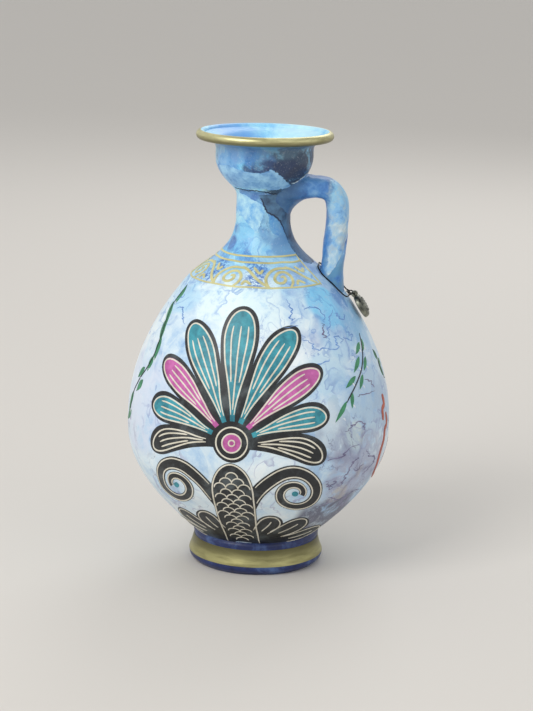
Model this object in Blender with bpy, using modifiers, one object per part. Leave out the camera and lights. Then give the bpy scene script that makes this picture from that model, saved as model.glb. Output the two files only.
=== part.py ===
"""Hand-painted ceramic jug with a strap handle, and a medal on a wire loop round the handle's lower root.

The vessel is thrown in sections that are luted together: a foot ring, two halves of the body, the neck with
its cone of a shoulder, and the mouth cup with its bead. The handle is a pulled strap. The wire loop lifts
off the shoulder, and the medal swings on the loop.

Metres, +Z up. The origin is the centre of the standing face, and the handle is on +X.
"""

import math

import bmesh
import bpy
from mathutils import Vector

# Driving dimensions in metres. Heights are stacked: each starts where the one below it ends.

# Foot ring, a flared band with a rolled top
FOOT_HEIGHT = 0.0222
FOOT_STANDING_RADIUS = 0.0425
FOOT_FLARE_RADIUS = 0.0464
FOOT_FLARE_HEIGHT = 0.0065
FOOT_WAIST_RADIUS = 0.0431
FOOT_WAIST_HEIGHT = 0.0175
FOOT_ROLL_RADIUS = 0.0436
FOOT_BORE_RADIUS = 0.0330
FOOT_BAND_POWER = 1.6
FOOT_EDGE_SHARE = 0.7

# Body, from the foot up to the shoulder line
BODY_BASE_RADIUS = 0.0422
BODY_BASE_ANGLE = math.radians(39.8)
BODY_WALL = 0.0060
BELLY_RADIUS = 0.0905
LOWER_BODY_HEIGHT = 0.0797
UPPER_BODY_HEIGHT = 0.0950
SHOULDER_RADIUS = 0.0524
SHOULDER_ANGLE = math.radians(129.25)

# Neck and mouth
NECK_RADIUS = 0.0184
NECK_WALL = 0.0050
SHOULDER_HEIGHT = 0.0437
NECK_HEIGHT = 0.0191
CUP_BASE_RADIUS = 0.0196
CUP_BASE_ANGLE = math.radians(50.0)
CUP_RADIUS = 0.0330
CUP_HEIGHT = 0.0238
FLARE_HEIGHT = 0.0103
LIP_RADIUS = 0.0419
LIP_ANGLE = math.radians(21.7)
LIP_WALL = 0.0042
BEAD_RADIUS = 0.0031
BEAD_SEAT_DEPTH = 0.0022

# Strap handle, in the plane y = 0
HANDLE_WIDTH = 0.0220
HANDLE_THICKNESS = 0.0138
HANDLE_REACH = 0.0500
HANDLE_ROOT_DEPTH = 0.0120
HANDLE_ROOT_RISE = 0.0005
HANDLE_CREST_REACH = 0.0355
HANDLE_CREST_RISE = 0.0031
HANDLE_ELBOW_DROP = 0.0158
HANDLE_LANDING_RADIUS = 0.0480
HANDLE_BURIED_LENGTH = 0.0220
HANDLE_UPPER_SPREAD = 1.60
HANDLE_CREST_SPREAD = 1.05
HANDLE_LOWER_SPREAD = 1.30
HANDLE_CORNER_POWER = 0.72

# Wire loop and medal
WIRE_DIAMETER = 0.0009
WIRE_SIDE_PLAY = 0.0012
WIRE_TWIST_LENGTH = 0.0070
WIRE_TWIST_TURNS = 1.5
WIRE_STRAND_GAP = 0.00045
EYE_REACH = 0.0118
EYE_LIFT = 0.0050
EYE_LENGTH = 0.0030
EYE_WALL = 0.0011
MEDAL_RADIUS = 0.0086
MEDAL_EDGE = 0.0032
MEDAL_DOME = 0.0010
MEDAL_STAND_OFF = 0.0020

# Gap kept between pieces that touch on the real object
CLEARANCE = 0.0003

# Shape of each stretch of the profile: handle lengths at its two ends, as shares of its chord
LOWER_BODY_FULLNESS = (0.676, 0.178)
UPPER_BODY_FULLNESS = (0.360, 0.314)
SHOULDER_FULLNESS = (0.285, 0.444)
NECK_FULLNESS = (0.50, 0.20)
CUP_FULLNESS = (0.36, 0.42)
FLARE_FULLNESS = (0.67, 0.67)

# Shape of the strap's curve: leads at its stations, as shares of the way to the next one
ROOT_LEAD = 0.4
CREST_LEAD = 0.6
ELBOW_LEAD = 0.6
TAIL_LEAD = 0.4

# Shape of the wire's legs: places as shares of the root's half width, of the way out and of the lift
CROSSING_SHARE = 0.65
BEND_OUT_SHARE = 0.3
BEND_WIDTH_SHARE = 0.92
GATHER_WIDTH_SHARE = 0.75
RISE_OUT_SHARE = 0.1
RISE_LIFT_SHARE = 0.8

# Fineness of the turned and drawn shapes
TURN_STEPS = 48
BODY_STEPS = 8
CONE_STEPS = 7
TUBE_STEPS = 3
CUP_STEPS = 5
FLARE_STEPS = 4
STRAP_SIDES = 14
STRAP_STEPS = 8
WIRE_STEPS = 4
TWIST_STEPS = 8
MEDAL_TURN_STEPS = 24
MEDAL_FACE_STEPS = 4
EYE_SIDES = 16
LEAN_HALVINGS = 30
SMOOTH_ANGLE = math.radians(40)
MERGE_DISTANCE = 0.00001

UPRIGHT = math.radians(90)


# Scene set-up and small helpers

def clear_scene():
    """Remove every object that the scene starts with."""
    for obj in list(bpy.data.objects):
        bpy.data.objects.remove(obj, do_unlink=True)


def new_collection(name):
    """Add a collection to the scene."""
    collection = bpy.data.collections.new(name)
    bpy.context.scene.collection.children.link(collection)
    return collection


def linear(channel):
    """Turn a display colour channel from 0 to 255 into a linear one."""
    share = channel / 255
    if share <= 0.04045:
        return share / 12.92
    return ((share + 0.055) / 1.055) ** 2.4


def finish(obj, colour, roughness, metallic=0.0):
    """Give a piece its own material."""
    material = bpy.data.materials.new(obj.name + "_finish")
    material.use_nodes = True
    shader = material.node_tree.nodes["Principled BSDF"]
    shader.inputs["Base Color"].default_value = (*[linear(channel) for channel in colour], 1.0)
    shader.inputs["Roughness"].default_value = roughness
    shader.inputs["Metallic"].default_value = metallic
    obj.data.materials.append(material)


def as_cutter(obj, collection):
    """Keep a helper solid out of the finished part."""
    collection.objects.link(obj)
    obj.hide_render = True
    obj.display_type = "WIRE"


def turned(name, profile, steps=TURN_STEPS, closed=True):
    """Turn a profile of (radius, height) points round Z. It runs down its outer side."""
    points = [(point.x, 0.0, point.y) for point in profile]
    edges = [(index, index + 1) for index in range(len(points) - 1)]
    if closed:
        edges.append((len(points) - 1, 0))
    mesh = bpy.data.meshes.new(name)
    mesh.from_pydata(points, edges, [])
    obj = bpy.data.objects.new(name, mesh)
    turn = obj.modifiers.new("turn", "SCREW")
    turn.axis = "Z"
    turn.steps = steps
    turn.render_steps = steps
    turn.use_merge_vertices = True
    turn.merge_threshold = MERGE_DISTANCE
    turn.use_smooth_shade = True
    return obj


def boolean(obj, other, operation):
    """Cut or join one solid with another."""
    modifier = obj.modifiers.new(operation.lower(), "BOOLEAN")
    modifier.operation = operation
    modifier.solver = "EXACT"
    modifier.object = other


def smooth_path(points, steps):
    """Return points of a smooth curve through an open list of points."""
    ends = [points[0] * 2 - points[1], *points, points[-1] * 2 - points[-2]]
    path = []
    for before, start, end, after in zip(ends, ends[1:], ends[2:], ends[3:]):
        for step in range(steps):
            t = step / steps
            path.append(0.5 * (2 * start + (end - before) * t
                               + (2 * before - 5 * start + 4 * end - after) * t * t
                               + (3 * start - before - 3 * end + after) * t ** 3))
    path.append(points[-1])
    return path


# Profile of the vessel: samples of its outer wall, each a (radius, height) point with its outward normal

def heading(angle):
    """Return the direction that rises from the outward horizontal by an angle."""
    return Vector((math.cos(angle), math.sin(angle)))


def stretch(start, start_angle, end, end_angle, fullness, steps):
    """Sample one curved stretch of the outer wall, from the bottom up."""
    chord = (end - start).length
    first = start + heading(start_angle) * chord * fullness[0]
    second = end - heading(end_angle) * chord * fullness[1]
    samples = []
    for step in range(steps + 1):
        t = step / steps
        s = 1 - t
        point = start * s ** 3 + first * 3 * s * s * t + second * 3 * s * t * t + end * t ** 3
        along = (first - start) * s * s + (second - first) * 2 * s * t + (end - second) * t * t
        along.normalize()
        samples.append((point, Vector((along.y, -along.x))))
    return samples


BASE = Vector((BODY_BASE_RADIUS, FOOT_HEIGHT + CLEARANCE))
BELLY = Vector((BELLY_RADIUS, BASE.y + LOWER_BODY_HEIGHT))
SHOULDER = Vector((SHOULDER_RADIUS, BELLY.y + UPPER_BODY_HEIGHT))
NECK = Vector((NECK_RADIUS, SHOULDER.y + SHOULDER_HEIGHT))
CUP_BASE = Vector((CUP_BASE_RADIUS, NECK.y + NECK_HEIGHT))
CUP_WALL = Vector((CUP_RADIUS, CUP_BASE.y + CUP_HEIGHT))
LIP = Vector((LIP_RADIUS, CUP_WALL.y + FLARE_HEIGHT))

LOWER_BODY = stretch(BASE, BODY_BASE_ANGLE, BELLY, UPRIGHT, LOWER_BODY_FULLNESS, BODY_STEPS)
UPPER_BODY = stretch(BELLY, UPRIGHT, SHOULDER, SHOULDER_ANGLE, UPPER_BODY_FULLNESS, BODY_STEPS)
CONE = stretch(SHOULDER, SHOULDER_ANGLE, NECK, UPRIGHT, SHOULDER_FULLNESS, CONE_STEPS)
TUBE = stretch(NECK, UPRIGHT, CUP_BASE, CUP_BASE_ANGLE, NECK_FULLNESS, TUBE_STEPS)
CUP = stretch(CUP_BASE, CUP_BASE_ANGLE, CUP_WALL, UPRIGHT, CUP_FULLNESS, CUP_STEPS)
FLARE = stretch(CUP_WALL, UPRIGHT, LIP, LIP_ANGLE, FLARE_FULLNESS, FLARE_STEPS)

# The wall that the handle, the wire and the medal meet
OUTER_WALL = UPPER_BODY + CONE[1:] + TUBE[1:] + CUP[1:]


def shell_profile(samples, low_wall, high_wall, seat_gap):
    """Return a section's outline: down its outer side, then up its inner side.

    The wall goes from low_wall to high_wall, and the section starts a gap above the one that it sits on.
    """
    outer = []
    inner = []
    for index, (point, normal) in enumerate(samples):
        share = index / (len(samples) - 1)
        wall = low_wall + (high_wall - low_wall) * share
        outer.append(point.copy())
        inner.append(point - normal * wall)
    first_normal = samples[0][1]
    along = Vector((-first_normal.y, first_normal.x))
    outer[0] += along * seat_gap
    inner[0] += along * seat_gap
    return outer[::-1] + inner


def wall_at(radius):
    """Return the point and outward normal of the body or shoulder at a radius, above the belly."""
    rising = UPPER_BODY + CONE[1:]
    for (low, low_normal), (high, high_normal) in zip(rising, rising[1:]):
        if high.x <= radius <= low.x:
            share = (low.x - radius) / (low.x - high.x)
            return low.lerp(high, share), low_normal.lerp(high_normal, share).normalized()
    raise ValueError("no shoulder at this radius")


def height_over_wall(point):
    """Return how far a (radius, height) point stands off the outer wall."""
    gaps = []
    for (low, _), (high, _) in zip(OUTER_WALL, OUTER_WALL[1:]):
        side = high - low
        share = min(1.0, max(0.0, (point - low).dot(side) / side.length_squared))
        away = point - low.lerp(high, share)
        outward = away.dot(Vector((side.y, -side.x)))
        gaps.append(math.copysign(away.length, outward))
    return min(gaps, key=abs)


# Vessel

def foot_ring():
    """Turn the flared ring that the jug stands on, with a rolled top and an open middle."""
    outline = [
        Vector((FOOT_BORE_RADIUS, FOOT_HEIGHT)),
        Vector((BODY_BASE_RADIUS, FOOT_HEIGHT)),
        Vector((FOOT_ROLL_RADIUS, (FOOT_HEIGHT * 2 + FOOT_WAIST_HEIGHT) / 3)),
        Vector((FOOT_ROLL_RADIUS, (FOOT_HEIGHT + FOOT_WAIST_HEIGHT * 2) / 3)),
        Vector((FOOT_WAIST_RADIUS, FOOT_WAIST_HEIGHT)),
    ]
    band_steps = 4
    for step in range(1, band_steps + 1):
        share = step / band_steps
        radius = FOOT_WAIST_RADIUS + (FOOT_FLARE_RADIUS - FOOT_WAIST_RADIUS) * share ** FOOT_BAND_POWER
        height = FOOT_WAIST_HEIGHT + (FOOT_FLARE_HEIGHT - FOOT_WAIST_HEIGHT) * share
        outline.append(Vector((radius, height)))
    outline.append(Vector((FOOT_FLARE_RADIUS, FOOT_FLARE_HEIGHT * FOOT_EDGE_SHARE)))
    outline.append(Vector((FOOT_STANDING_RADIUS, 0.0)))
    outline.append(Vector((FOOT_BORE_RADIUS, 0.0)))
    return turned("foot_ring", outline)


def lower_body():
    """Turn the lower half of the body with its flat floor."""
    shell = shell_profile(LOWER_BODY, BODY_WALL, BODY_WALL, 0.0)
    wall_count = len(LOWER_BODY)
    floor_top = shell[wall_count]
    outline = [Vector((0.0, floor_top.y)), *shell[wall_count:], *shell[:wall_count], Vector((0.0, BASE.y))]
    return turned("lower_body", outline, closed=False)


def rim_bead():
    """Turn the round bead that caps the lip's edge, flat where it sits on the lip."""
    lip, normal = FLARE[-1]
    along = Vector((-normal.y, normal.x))
    centre = lip - normal * LIP_WALL / 2 + along * (CLEARANCE + BEAD_SEAT_DEPTH)
    seat_angle = math.acos(-BEAD_SEAT_DEPTH / BEAD_RADIUS)
    arc_steps = 8
    outline = []
    for step in range(arc_steps + 1):
        angle = seat_angle * (1 - 2 * step / arc_steps)
        outline.append(centre + (along * math.cos(angle) - normal * math.sin(angle)) * BEAD_RADIUS)
    return turned("rim_bead", outline)


# Handle

def strap_section():
    """Return a guide curve for the strap's section, an oval with full sides."""
    guide = bpy.data.curves.new("strap_section", "CURVE")
    guide.dimensions = "2D"
    spline = guide.splines.new("POLY")
    spline.points.add(STRAP_SIDES - 1)
    spline.use_cyclic_u = True
    for index, point in enumerate(spline.points):
        angle = 2 * math.pi * index / STRAP_SIDES
        across = math.copysign(abs(math.cos(angle)) ** HANDLE_CORNER_POWER, math.cos(angle))
        through = math.copysign(abs(math.sin(angle)) ** HANDLE_CORNER_POWER, math.sin(angle))
        point.co = (HANDLE_WIDTH / 2 * across, HANDLE_THICKNESS / 2 * through, 0.0, 1.0)
    return bpy.data.objects.new("strap_section", guide)


def strap_path(cutters):
    """Draw the strap from under the cup, over its elbow and down to the shoulder."""
    landing, _ = wall_at(HANDLE_LANDING_RADIUS)
    root = Vector((HANDLE_ROOT_DEPTH, 0.0, CUP_BASE.y + HANDLE_ROOT_RISE))
    crest = Vector((HANDLE_CREST_REACH, 0.0, CUP_BASE.y + HANDLE_CREST_RISE))
    corner = Vector((HANDLE_REACH, 0.0, crest.z))
    crest_lead = (corner - crest) * CREST_LEAD
    elbow = corner - Vector((0.0, 0.0, HANDLE_ELBOW_DROP))
    foot = Vector((HANDLE_LANDING_RADIUS, 0.0, landing.y))
    tail = foot - Vector((0.0, 0.0, HANDLE_BURIED_LENGTH))
    straight = (elbow.z - foot.z) / 3
    drawn = bpy.data.curves.new("strap_handle", "CURVE")
    drawn.dimensions = "3D"
    drawn.fill_mode = "FULL"
    drawn.twist_mode = "MINIMUM"
    drawn.resolution_u = STRAP_STEPS
    section = strap_section()
    as_cutter(section, cutters)
    drawn.bevel_mode = "OBJECT"
    drawn.bevel_object = section
    drawn.use_fill_caps = True
    spline = drawn.splines.new("BEZIER")
    stations = [
        (root, root, root.lerp(crest, ROOT_LEAD), HANDLE_UPPER_SPREAD),
        (crest - crest_lead, crest, crest + crest_lead, HANDLE_CREST_SPREAD),
        (elbow.lerp(corner, ELBOW_LEAD), elbow, elbow - Vector((0.0, 0.0, straight)), 1.0),
        (foot + Vector((0.0, 0.0, straight)), foot, foot.lerp(tail, TAIL_LEAD), HANDLE_LANDING_SPREAD),
        (tail.lerp(foot, TAIL_LEAD), tail, tail, HANDLE_LOWER_SPREAD),
    ]
    spline.bezier_points.add(len(stations) - 1)
    for point, (before, place, after, spread) in zip(spline.bezier_points, stations):
        point.handle_left_type = "FREE"
        point.handle_right_type = "FREE"
        point.handle_left = before
        point.co = place
        point.handle_right = after
        point.radius = spread
    return bpy.data.objects.new("strap_handle_path", drawn)


def meshed(name, drawn):
    """Make a closed mesh of a drawn curve, so that it can be cut, and remove the curve."""
    bpy.context.scene.collection.objects.link(drawn)
    bpy.context.view_layer.update()
    evaluated = drawn.evaluated_get(bpy.context.evaluated_depsgraph_get())
    mesh = bpy.data.meshes.new_from_object(evaluated)
    mesh.name = name
    welded = bmesh.new()
    welded.from_mesh(mesh)
    bmesh.ops.remove_doubles(welded, verts=welded.verts, dist=MERGE_DISTANCE)
    bmesh.ops.recalc_face_normals(welded, faces=welded.faces)
    welded.to_mesh(mesh)
    welded.free()
    mesh.shade_smooth()
    mesh.set_sharp_from_angle(angle=SMOOTH_ANGLE)
    obj = bpy.data.objects.new(name, mesh)
    obj.matrix_world = drawn.matrix_world
    bpy.data.objects.remove(drawn, do_unlink=True)
    return obj


def strap_handle(cutters):
    """Cut the drawn strap to the walls that it is luted to."""
    strap = meshed("strap_handle", strap_path(cutters))
    outline = [point + normal * CLEARANCE for point, normal in reversed(OUTER_WALL)]
    outline.insert(0, Vector((0.0, outline[0].y)))
    outline.append(Vector((0.0, outline[-1].y)))
    walls = turned("walls_under_handle", outline, closed=False)
    as_cutter(walls, cutters)
    boolean(strap, walls, "DIFFERENCE")
    return strap


# Wire loop and medal

WIRE_RADIUS = WIRE_DIAMETER / 2
HANDLE_LANDING_SPREAD = (1 + HANDLE_LOWER_SPREAD) / 2
ROOT_HALF_WIDTH = HANDLE_WIDTH / 2 * HANDLE_LANDING_SPREAD
ROOT_HALF_THICKNESS = HANDLE_THICKNESS / 2 * HANDLE_LANDING_SPREAD
EYE_BORE_RADIUS = WIRE_RADIUS + CLEARANCE
EYE_TO_CENTRE = MEDAL_RADIUS + EYE_BORE_RADIUS


def on_wall(x, y, lift):
    """Return the place that stands off the shoulder by lift, seen from above at (x, y)."""
    radius = math.hypot(x, y)
    point, normal = wall_at(radius)
    raised = point + normal * lift
    return Vector((raised.x * x / radius, raised.x * y / radius, raised.y))


def lifted(place, lift):
    """Return a place on the wire's route, raised where it would lie closer to the wall than lift."""
    radius = math.hypot(place.x, place.y)
    section = Vector((radius, place.z))
    shortfall = lift - height_over_wall(section)
    if shortfall <= 0:
        return place
    _, normal = wall_at(radius)
    section += normal * shortfall
    return Vector((place.x * section.x / radius, place.y * section.x / radius, section.y))


def wire_hinge_place():
    """Return the middle of the wire's run behind the handle, which the loop turns about."""
    inner = HANDLE_LANDING_RADIUS - ROOT_HALF_THICKNESS - WIRE_SIDE_PLAY - WIRE_RADIUS
    return on_wall(inner, 0.0, WIRE_RADIUS + CLEARANCE)


def eye_place():
    """Return the middle of the medal's eye, lifted off the shoulder by the stiff wire."""
    return on_wall(HANDLE_LANDING_RADIUS + EYE_REACH, 0.0, EYE_LIFT)


def wire_points():
    """Return the wire's route: one twisted end, round the handle's root, through the eye, the other end."""
    hinge = wire_hinge_place()
    eye = eye_place()
    lift = WIRE_RADIUS + CLEARANCE
    side = ROOT_HALF_WIDTH + WIRE_SIDE_PLAY + WIRE_RADIUS
    crossing = ROOT_HALF_WIDTH * CROSSING_SHARE
    bend = hinge.x + (HANDLE_LANDING_RADIUS - hinge.x) * BEND_OUT_SHARE
    outer = HANDLE_LANDING_RADIUS + ROOT_HALF_THICKNESS + WIRE_SIDE_PLAY
    rise = outer + EYE_REACH * RISE_OUT_SHARE
    tip = EYE_LENGTH / 2 + WIRE_DIAMETER
    parting = tip + WIRE_DIAMETER * 2
    strand = (WIRE_DIAMETER + WIRE_STRAND_GAP) / 2

    def leg(hand):
        """Return one leg's places, from behind the handle out to the eye, on the side that hand gives."""
        return [
            hinge,
            hinge + Vector((0.0, hand * crossing, 0.0)),
            on_wall(bend, hand * side * BEND_WIDTH_SHARE, lift),
            on_wall(HANDLE_LANDING_RADIUS, hand * side, lift),
            on_wall(outer, hand * side * GATHER_WIDTH_SHARE, lift + strand),
            on_wall(rise, hand * parting, EYE_LIFT * RISE_LIFT_SHARE),
            eye + Vector((0.0, hand * tip, 0.0)),
            eye + Vector((0.0, hand * EYE_LENGTH / 4, 0.0)),
        ]

    front = leg(-1)
    back = leg(1)
    join = back.pop(4)
    _, slope = wall_at(math.hypot(join.x, join.y))
    outward = Vector((join.x, join.y, 0.0)).normalized()
    normal = outward * slope.x + Vector((0.0, 0.0, slope.y))
    along = back[3] - back[4]
    along = (along - normal * along.dot(normal)).normalized()
    axis = along.cross(normal)
    if axis.z > 0:
        axis.negate()
    twist_steps = round(WIRE_TWIST_TURNS * TWIST_STEPS)
    twists = []
    for hand in (1, -1):
        twist = []
        for step in range(twist_steps + 1):
            angle = 2 * math.pi * WIRE_TWIST_TURNS * step / twist_steps
            turned_out = (along * math.cos(angle) + normal * math.sin(angle)) * strand * hand
            twist.append(join + turned_out + axis * WIRE_TWIST_LENGTH * step / twist_steps)
        twists.append(twist)
    loop = [twists[0][0], *back[3:0:-1], *front, *back[:3:-1], twists[1][0]]
    resting = [lifted(point, lift) for point in smooth_path(loop, WIRE_STEPS)]
    return twists[0][:0:-1] + resting + twists[1][1:]


def wire_loop(hinge):
    """Draw the wire, with its origin on the axis that it lifts about."""
    drawn = bpy.data.curves.new("wire_loop", "CURVE")
    drawn.dimensions = "3D"
    drawn.fill_mode = "FULL"
    drawn.bevel_depth = WIRE_RADIUS
    drawn.bevel_resolution = 2
    drawn.use_fill_caps = True
    points = wire_points()
    spline = drawn.splines.new("POLY")
    spline.points.add(len(points) - 1)
    for spline_point, place in zip(spline.points, points):
        spline_point.co = (*(place - hinge.location), 1.0)
    wire = bpy.data.objects.new("wire_loop", drawn)
    wire.parent = hinge
    return wire


def medal_half_thickness(distance):
    """Return half the medal's thickness at a distance from its centre."""
    return MEDAL_EDGE / 2 + MEDAL_DOME * (1 - (distance / MEDAL_RADIUS) ** 2)


def medal_lean():
    """Return the lean from upright at which the stiff wire holds the medal's back off the body."""
    eye = eye_place()
    middle = Vector((eye.x, eye.z))
    back_steps = 8
    leaning_in = 0.0
    leaning_out = UPRIGHT
    for _ in range(LEAN_HALVINGS):
        lean = (leaning_in + leaning_out) / 2
        down = Vector((math.sin(lean), -math.cos(lean)))
        outward = Vector((math.cos(lean), math.sin(lean)))
        gaps = []
        for step in range(back_steps + 1):
            distance = MEDAL_RADIUS * (2 * step / back_steps - 1)
            back = middle + down * (EYE_TO_CENTRE + distance) - outward * medal_half_thickness(distance)
            gaps.append(height_over_wall(back))
        if min(gaps) < MEDAL_STAND_OFF:
            leaning_in = lean
        else:
            leaning_out = lean
    return leaning_out


def eye_solid(name, radius, length, medal, cutters):
    """Make a round bar along Y at the medal's eye, to join to the medal or to bore it."""
    bar = bpy.data.meshes.new(name)
    shape = bmesh.new()
    bmesh.ops.create_cone(shape, cap_ends=True, segments=EYE_SIDES,
                          radius1=radius, radius2=radius, depth=length)
    shape.to_mesh(bar)
    shape.free()
    obj = bpy.data.objects.new(name, bar)
    as_cutter(obj, cutters)
    obj.parent = medal
    obj.location = (-EYE_TO_CENTRE, 0.0, 0.0)
    obj.rotation_euler = (UPRIGHT, 0.0, 0.0)
    return obj


def seal_medal(hinge, cutters):
    """Turn the domed medal and give it a bored eye for the wire."""
    face = []
    for step in range(MEDAL_FACE_STEPS + 1):
        distance = MEDAL_RADIUS * step / MEDAL_FACE_STEPS
        face.append(Vector((distance, medal_half_thickness(distance))))
    back = [Vector((point.x, -point.y)) for point in reversed(face)]
    medal = turned("seal_medal", face + back, MEDAL_TURN_STEPS, closed=False)
    medal.parent = hinge
    medal.location = (EYE_TO_CENTRE, 0.0, 0.0)
    lug = eye_solid("medal_eye", EYE_BORE_RADIUS + EYE_WALL, EYE_LENGTH, medal, cutters)
    bore = eye_solid("medal_eye_bore", EYE_BORE_RADIUS, EYE_LENGTH * 2, medal, cutters)
    boolean(medal, lug, "UNION")
    boolean(medal, bore, "DIFFERENCE")
    return medal


def hinge_empty(name, place, parent, collection):
    """Add an empty on a joint's axis."""
    hinge = bpy.data.objects.new(name, None)
    collection.objects.link(hinge)
    hinge.parent = parent
    hinge.location = place
    return hinge


def main():
    """Build the jug."""
    clear_scene()
    parts = new_collection("ceramic_jug")
    cutters = new_collection("cutters")

    sky = (120, 168, 218)
    pale = (205, 216, 235)
    gold = (176, 150, 82)
    cobalt = (48, 66, 142)
    steel = (52, 50, 48)
    pewter = (122, 126, 116)
    satin = 0.42
    brushed = 0.40
    upper_profile = shell_profile(UPPER_BODY, BODY_WALL, BODY_WALL, CLEARANCE)
    neck_profile = shell_profile(CONE + TUBE[1:], BODY_WALL, NECK_WALL, CLEARANCE)
    cup_profile = shell_profile(CUP + FLARE[1:], NECK_WALL, LIP_WALL, CLEARANCE)
    pieces = [
        (foot_ring(), cobalt, satin, 0.0),
        (lower_body(), pale, satin, 0.0),
        (turned("upper_body", upper_profile), pale, satin, 0.0),
        (turned("neck_and_shoulder", neck_profile), sky, satin, 0.0),
        (turned("mouth_cup", cup_profile), sky, satin, 0.0),
        (rim_bead(), gold, brushed, 0.8),
        (strap_handle(cutters), sky, satin, 0.0),
    ]

    wire_hinge = hinge_empty("wire_hinge", wire_hinge_place(), None, parts)
    medal_hinge = hinge_empty("medal_hinge", eye_place() - wire_hinge_place(), wire_hinge, parts)
    medal_hinge.rotation_euler = (0.0, UPRIGHT - medal_lean(), 0.0)
    pieces.append((wire_loop(wire_hinge), steel, brushed, 0.9))
    pieces.append((seal_medal(medal_hinge, cutters), pewter, brushed, 0.9))

    for obj, colour, roughness, metallic in pieces:
        parts.objects.link(obj)
        finish(obj, colour, roughness, metallic)


main()
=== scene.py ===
"""Looks of the hand-painted ceramic jug: glaze, gilding, painted ornament, wire and medal.

Lengths are in metres unless a name or a comment says millimetres. The vessel's wall is a surface of
revolution about Z. A place on it is a turn, in degrees to the viewer's right of the side that faces the
camera, and a height.
"""

import bisect
import math
from typing import NamedTuple

import bmesh
import bpy
from mathutils import Matrix, Vector, geometry, noise


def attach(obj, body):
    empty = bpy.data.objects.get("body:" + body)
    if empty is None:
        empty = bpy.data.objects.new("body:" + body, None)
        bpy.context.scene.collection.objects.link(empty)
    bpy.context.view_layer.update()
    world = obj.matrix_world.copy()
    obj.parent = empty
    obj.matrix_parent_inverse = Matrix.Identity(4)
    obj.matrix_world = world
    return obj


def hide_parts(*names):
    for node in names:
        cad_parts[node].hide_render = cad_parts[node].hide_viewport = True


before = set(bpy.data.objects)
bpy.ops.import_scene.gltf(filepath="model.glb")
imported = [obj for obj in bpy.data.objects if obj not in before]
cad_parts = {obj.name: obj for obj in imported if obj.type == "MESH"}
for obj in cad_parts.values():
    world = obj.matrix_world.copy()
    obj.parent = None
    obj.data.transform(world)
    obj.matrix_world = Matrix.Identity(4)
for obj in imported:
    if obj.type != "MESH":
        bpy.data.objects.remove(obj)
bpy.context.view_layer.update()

MM = 0.001
UPRIGHT = math.radians(90)
SAME_PLACE = 0.000001

# Angles up to which faces are shaded as one smooth surface
SKIN_ANGLE = math.radians(35)
PAINT_ANGLE = math.radians(50)
TUBE_ANGLE = math.radians(60)

# Camera, as fitted to the photograph's 533 by 711 frame
FRAME_HEIGHT_PX = 711
CAMERA_DISTANCE = 1.3875
CAMERA_HEIGHT = 0.4592
CAMERA_FOCUS_PX = 2062.4
CAMERA_PITCH = math.radians(12.78)
CAMERA_ROLL = math.radians(1.33)
CAMERA_OFFSET_PX = 6.61
CAMERA_AZIMUTH = math.radians(5.0)

# Stations of the vessel's outer wall: radius, height and slope from the outward horizontal
BASE = (0.0422, 0.0225, math.radians(39.8))
BELLY = (0.0905, 0.1022, UPRIGHT)
SHOULDER = (0.0524, 0.1972, math.radians(129.25))
NECK = (0.0184, 0.2409, UPRIGHT)
CUP_BASE = (0.0196, 0.2600, math.radians(50.0))
CUP_WALL = (0.0330, 0.2838, UPRIGHT)
LIP = (0.0419, 0.2941, math.radians(21.7))
BODY_WALL = 0.0060
NECK_WALL = 0.0050
LIP_WALL = 0.0042
BEAD_RADIUS = 0.0031
BEAD_SEAT_DEPTH = 0.0025
RIM_GOLD_SHARE = 0.56

# Fullness of each stretch between stations, and how finely it is cut
LOWER_BODY = (BASE, BELLY, (0.676, 0.178), 60)
UPPER_BODY = (BELLY, SHOULDER, (0.360, 0.314), 60)
CONE = (SHOULDER, NECK, (0.285, 0.444), 40)
TUBE = (NECK, CUP_BASE, (0.50, 0.20), 20)
CUP = (CUP_BASE, CUP_WALL, (0.36, 0.42), 24)
FLARE = (CUP_WALL, LIP, (0.67, 0.67), 16)
SEGMENTS = 192

# Hand-thrown unevenness of the wall: slow swells, and fine rings left by the fingers
SWELL_DEPTH = 0.00022
SWELL_SCALE = 2.1
SWELL_RISE = 14
FINGER_DEPTH = 0.00005
FINGER_RATE = 520
FINGER_SWAY = 1.5
FINGER_SCALE = 1.3

# Foot ring: its side goes by the standing edge, heel, flare, hollow, waist, roll and top
FOOT_HEIGHT = 0.0225
FOOT_SIDE = [(0.0425, 0.0), (0.0457, 0.0030), (0.0464, 0.0065), (0.04445, 0.0120), (0.0431, 0.0175),
             (0.0436, 0.0203), (0.0424, FOOT_HEIGHT)]
FOOT_BORE_RADIUS = 0.0330
FOOT_BAND = (0.0062, 0.0176)

# Strap handle, over the X axis
HANDLE_WIDTH = 0.0220
HANDLE_THICKNESS = 0.0138
HANDLE_REACH = 0.0500
HANDLE_ROOT = Vector((0.0040, 0.0, 0.2605))
HANDLE_CREST = Vector((0.0355, 0.0, 0.2631))
HANDLE_ELBOW_DROP = 0.0158
HANDLE_LANDING_RADIUS = 0.0480
HANDLE_BURIED_LENGTH = 0.0220
HANDLE_UPPER_SPREAD = 1.60
HANDLE_CREST_SPREAD = 1.05
HANDLE_LOWER_SPREAD = 1.30
HANDLE_SUNK_DEPTH = 0.0025
HANDLE_START = 0.0095
CAP_SHARES = (0.8, 0.6, 0.4, 0.2)
UPPER_LUTING_RADIUS = 0.0015
LOWER_LUTING_RADIUS = 0.0009
UNDER_ROOT_RADIUS = 0.0115
LUTING_EDGE_DEPTH = 0.0002
ROOT_HALF_WIDTH_LIMIT = 0.0152
STRAP_ROOT_RINGS = 90
STRAP_RINGS = 26
STRAP_SWELL = 0.0014
STRAP_SWELL_HEIGHT = 0.240
STRAP_SWELL_REACH = 0.028
STRAP_LUMPS = [(0.0005, 95), (0.0002, 260)]
STRAP_SIDES = 44
STRAP_CORNER_POWER = 0.72
ELBOW_LEAD = 0.72
ROOT_LEAD = 0.4
LUTING_POWER = 6

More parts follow.
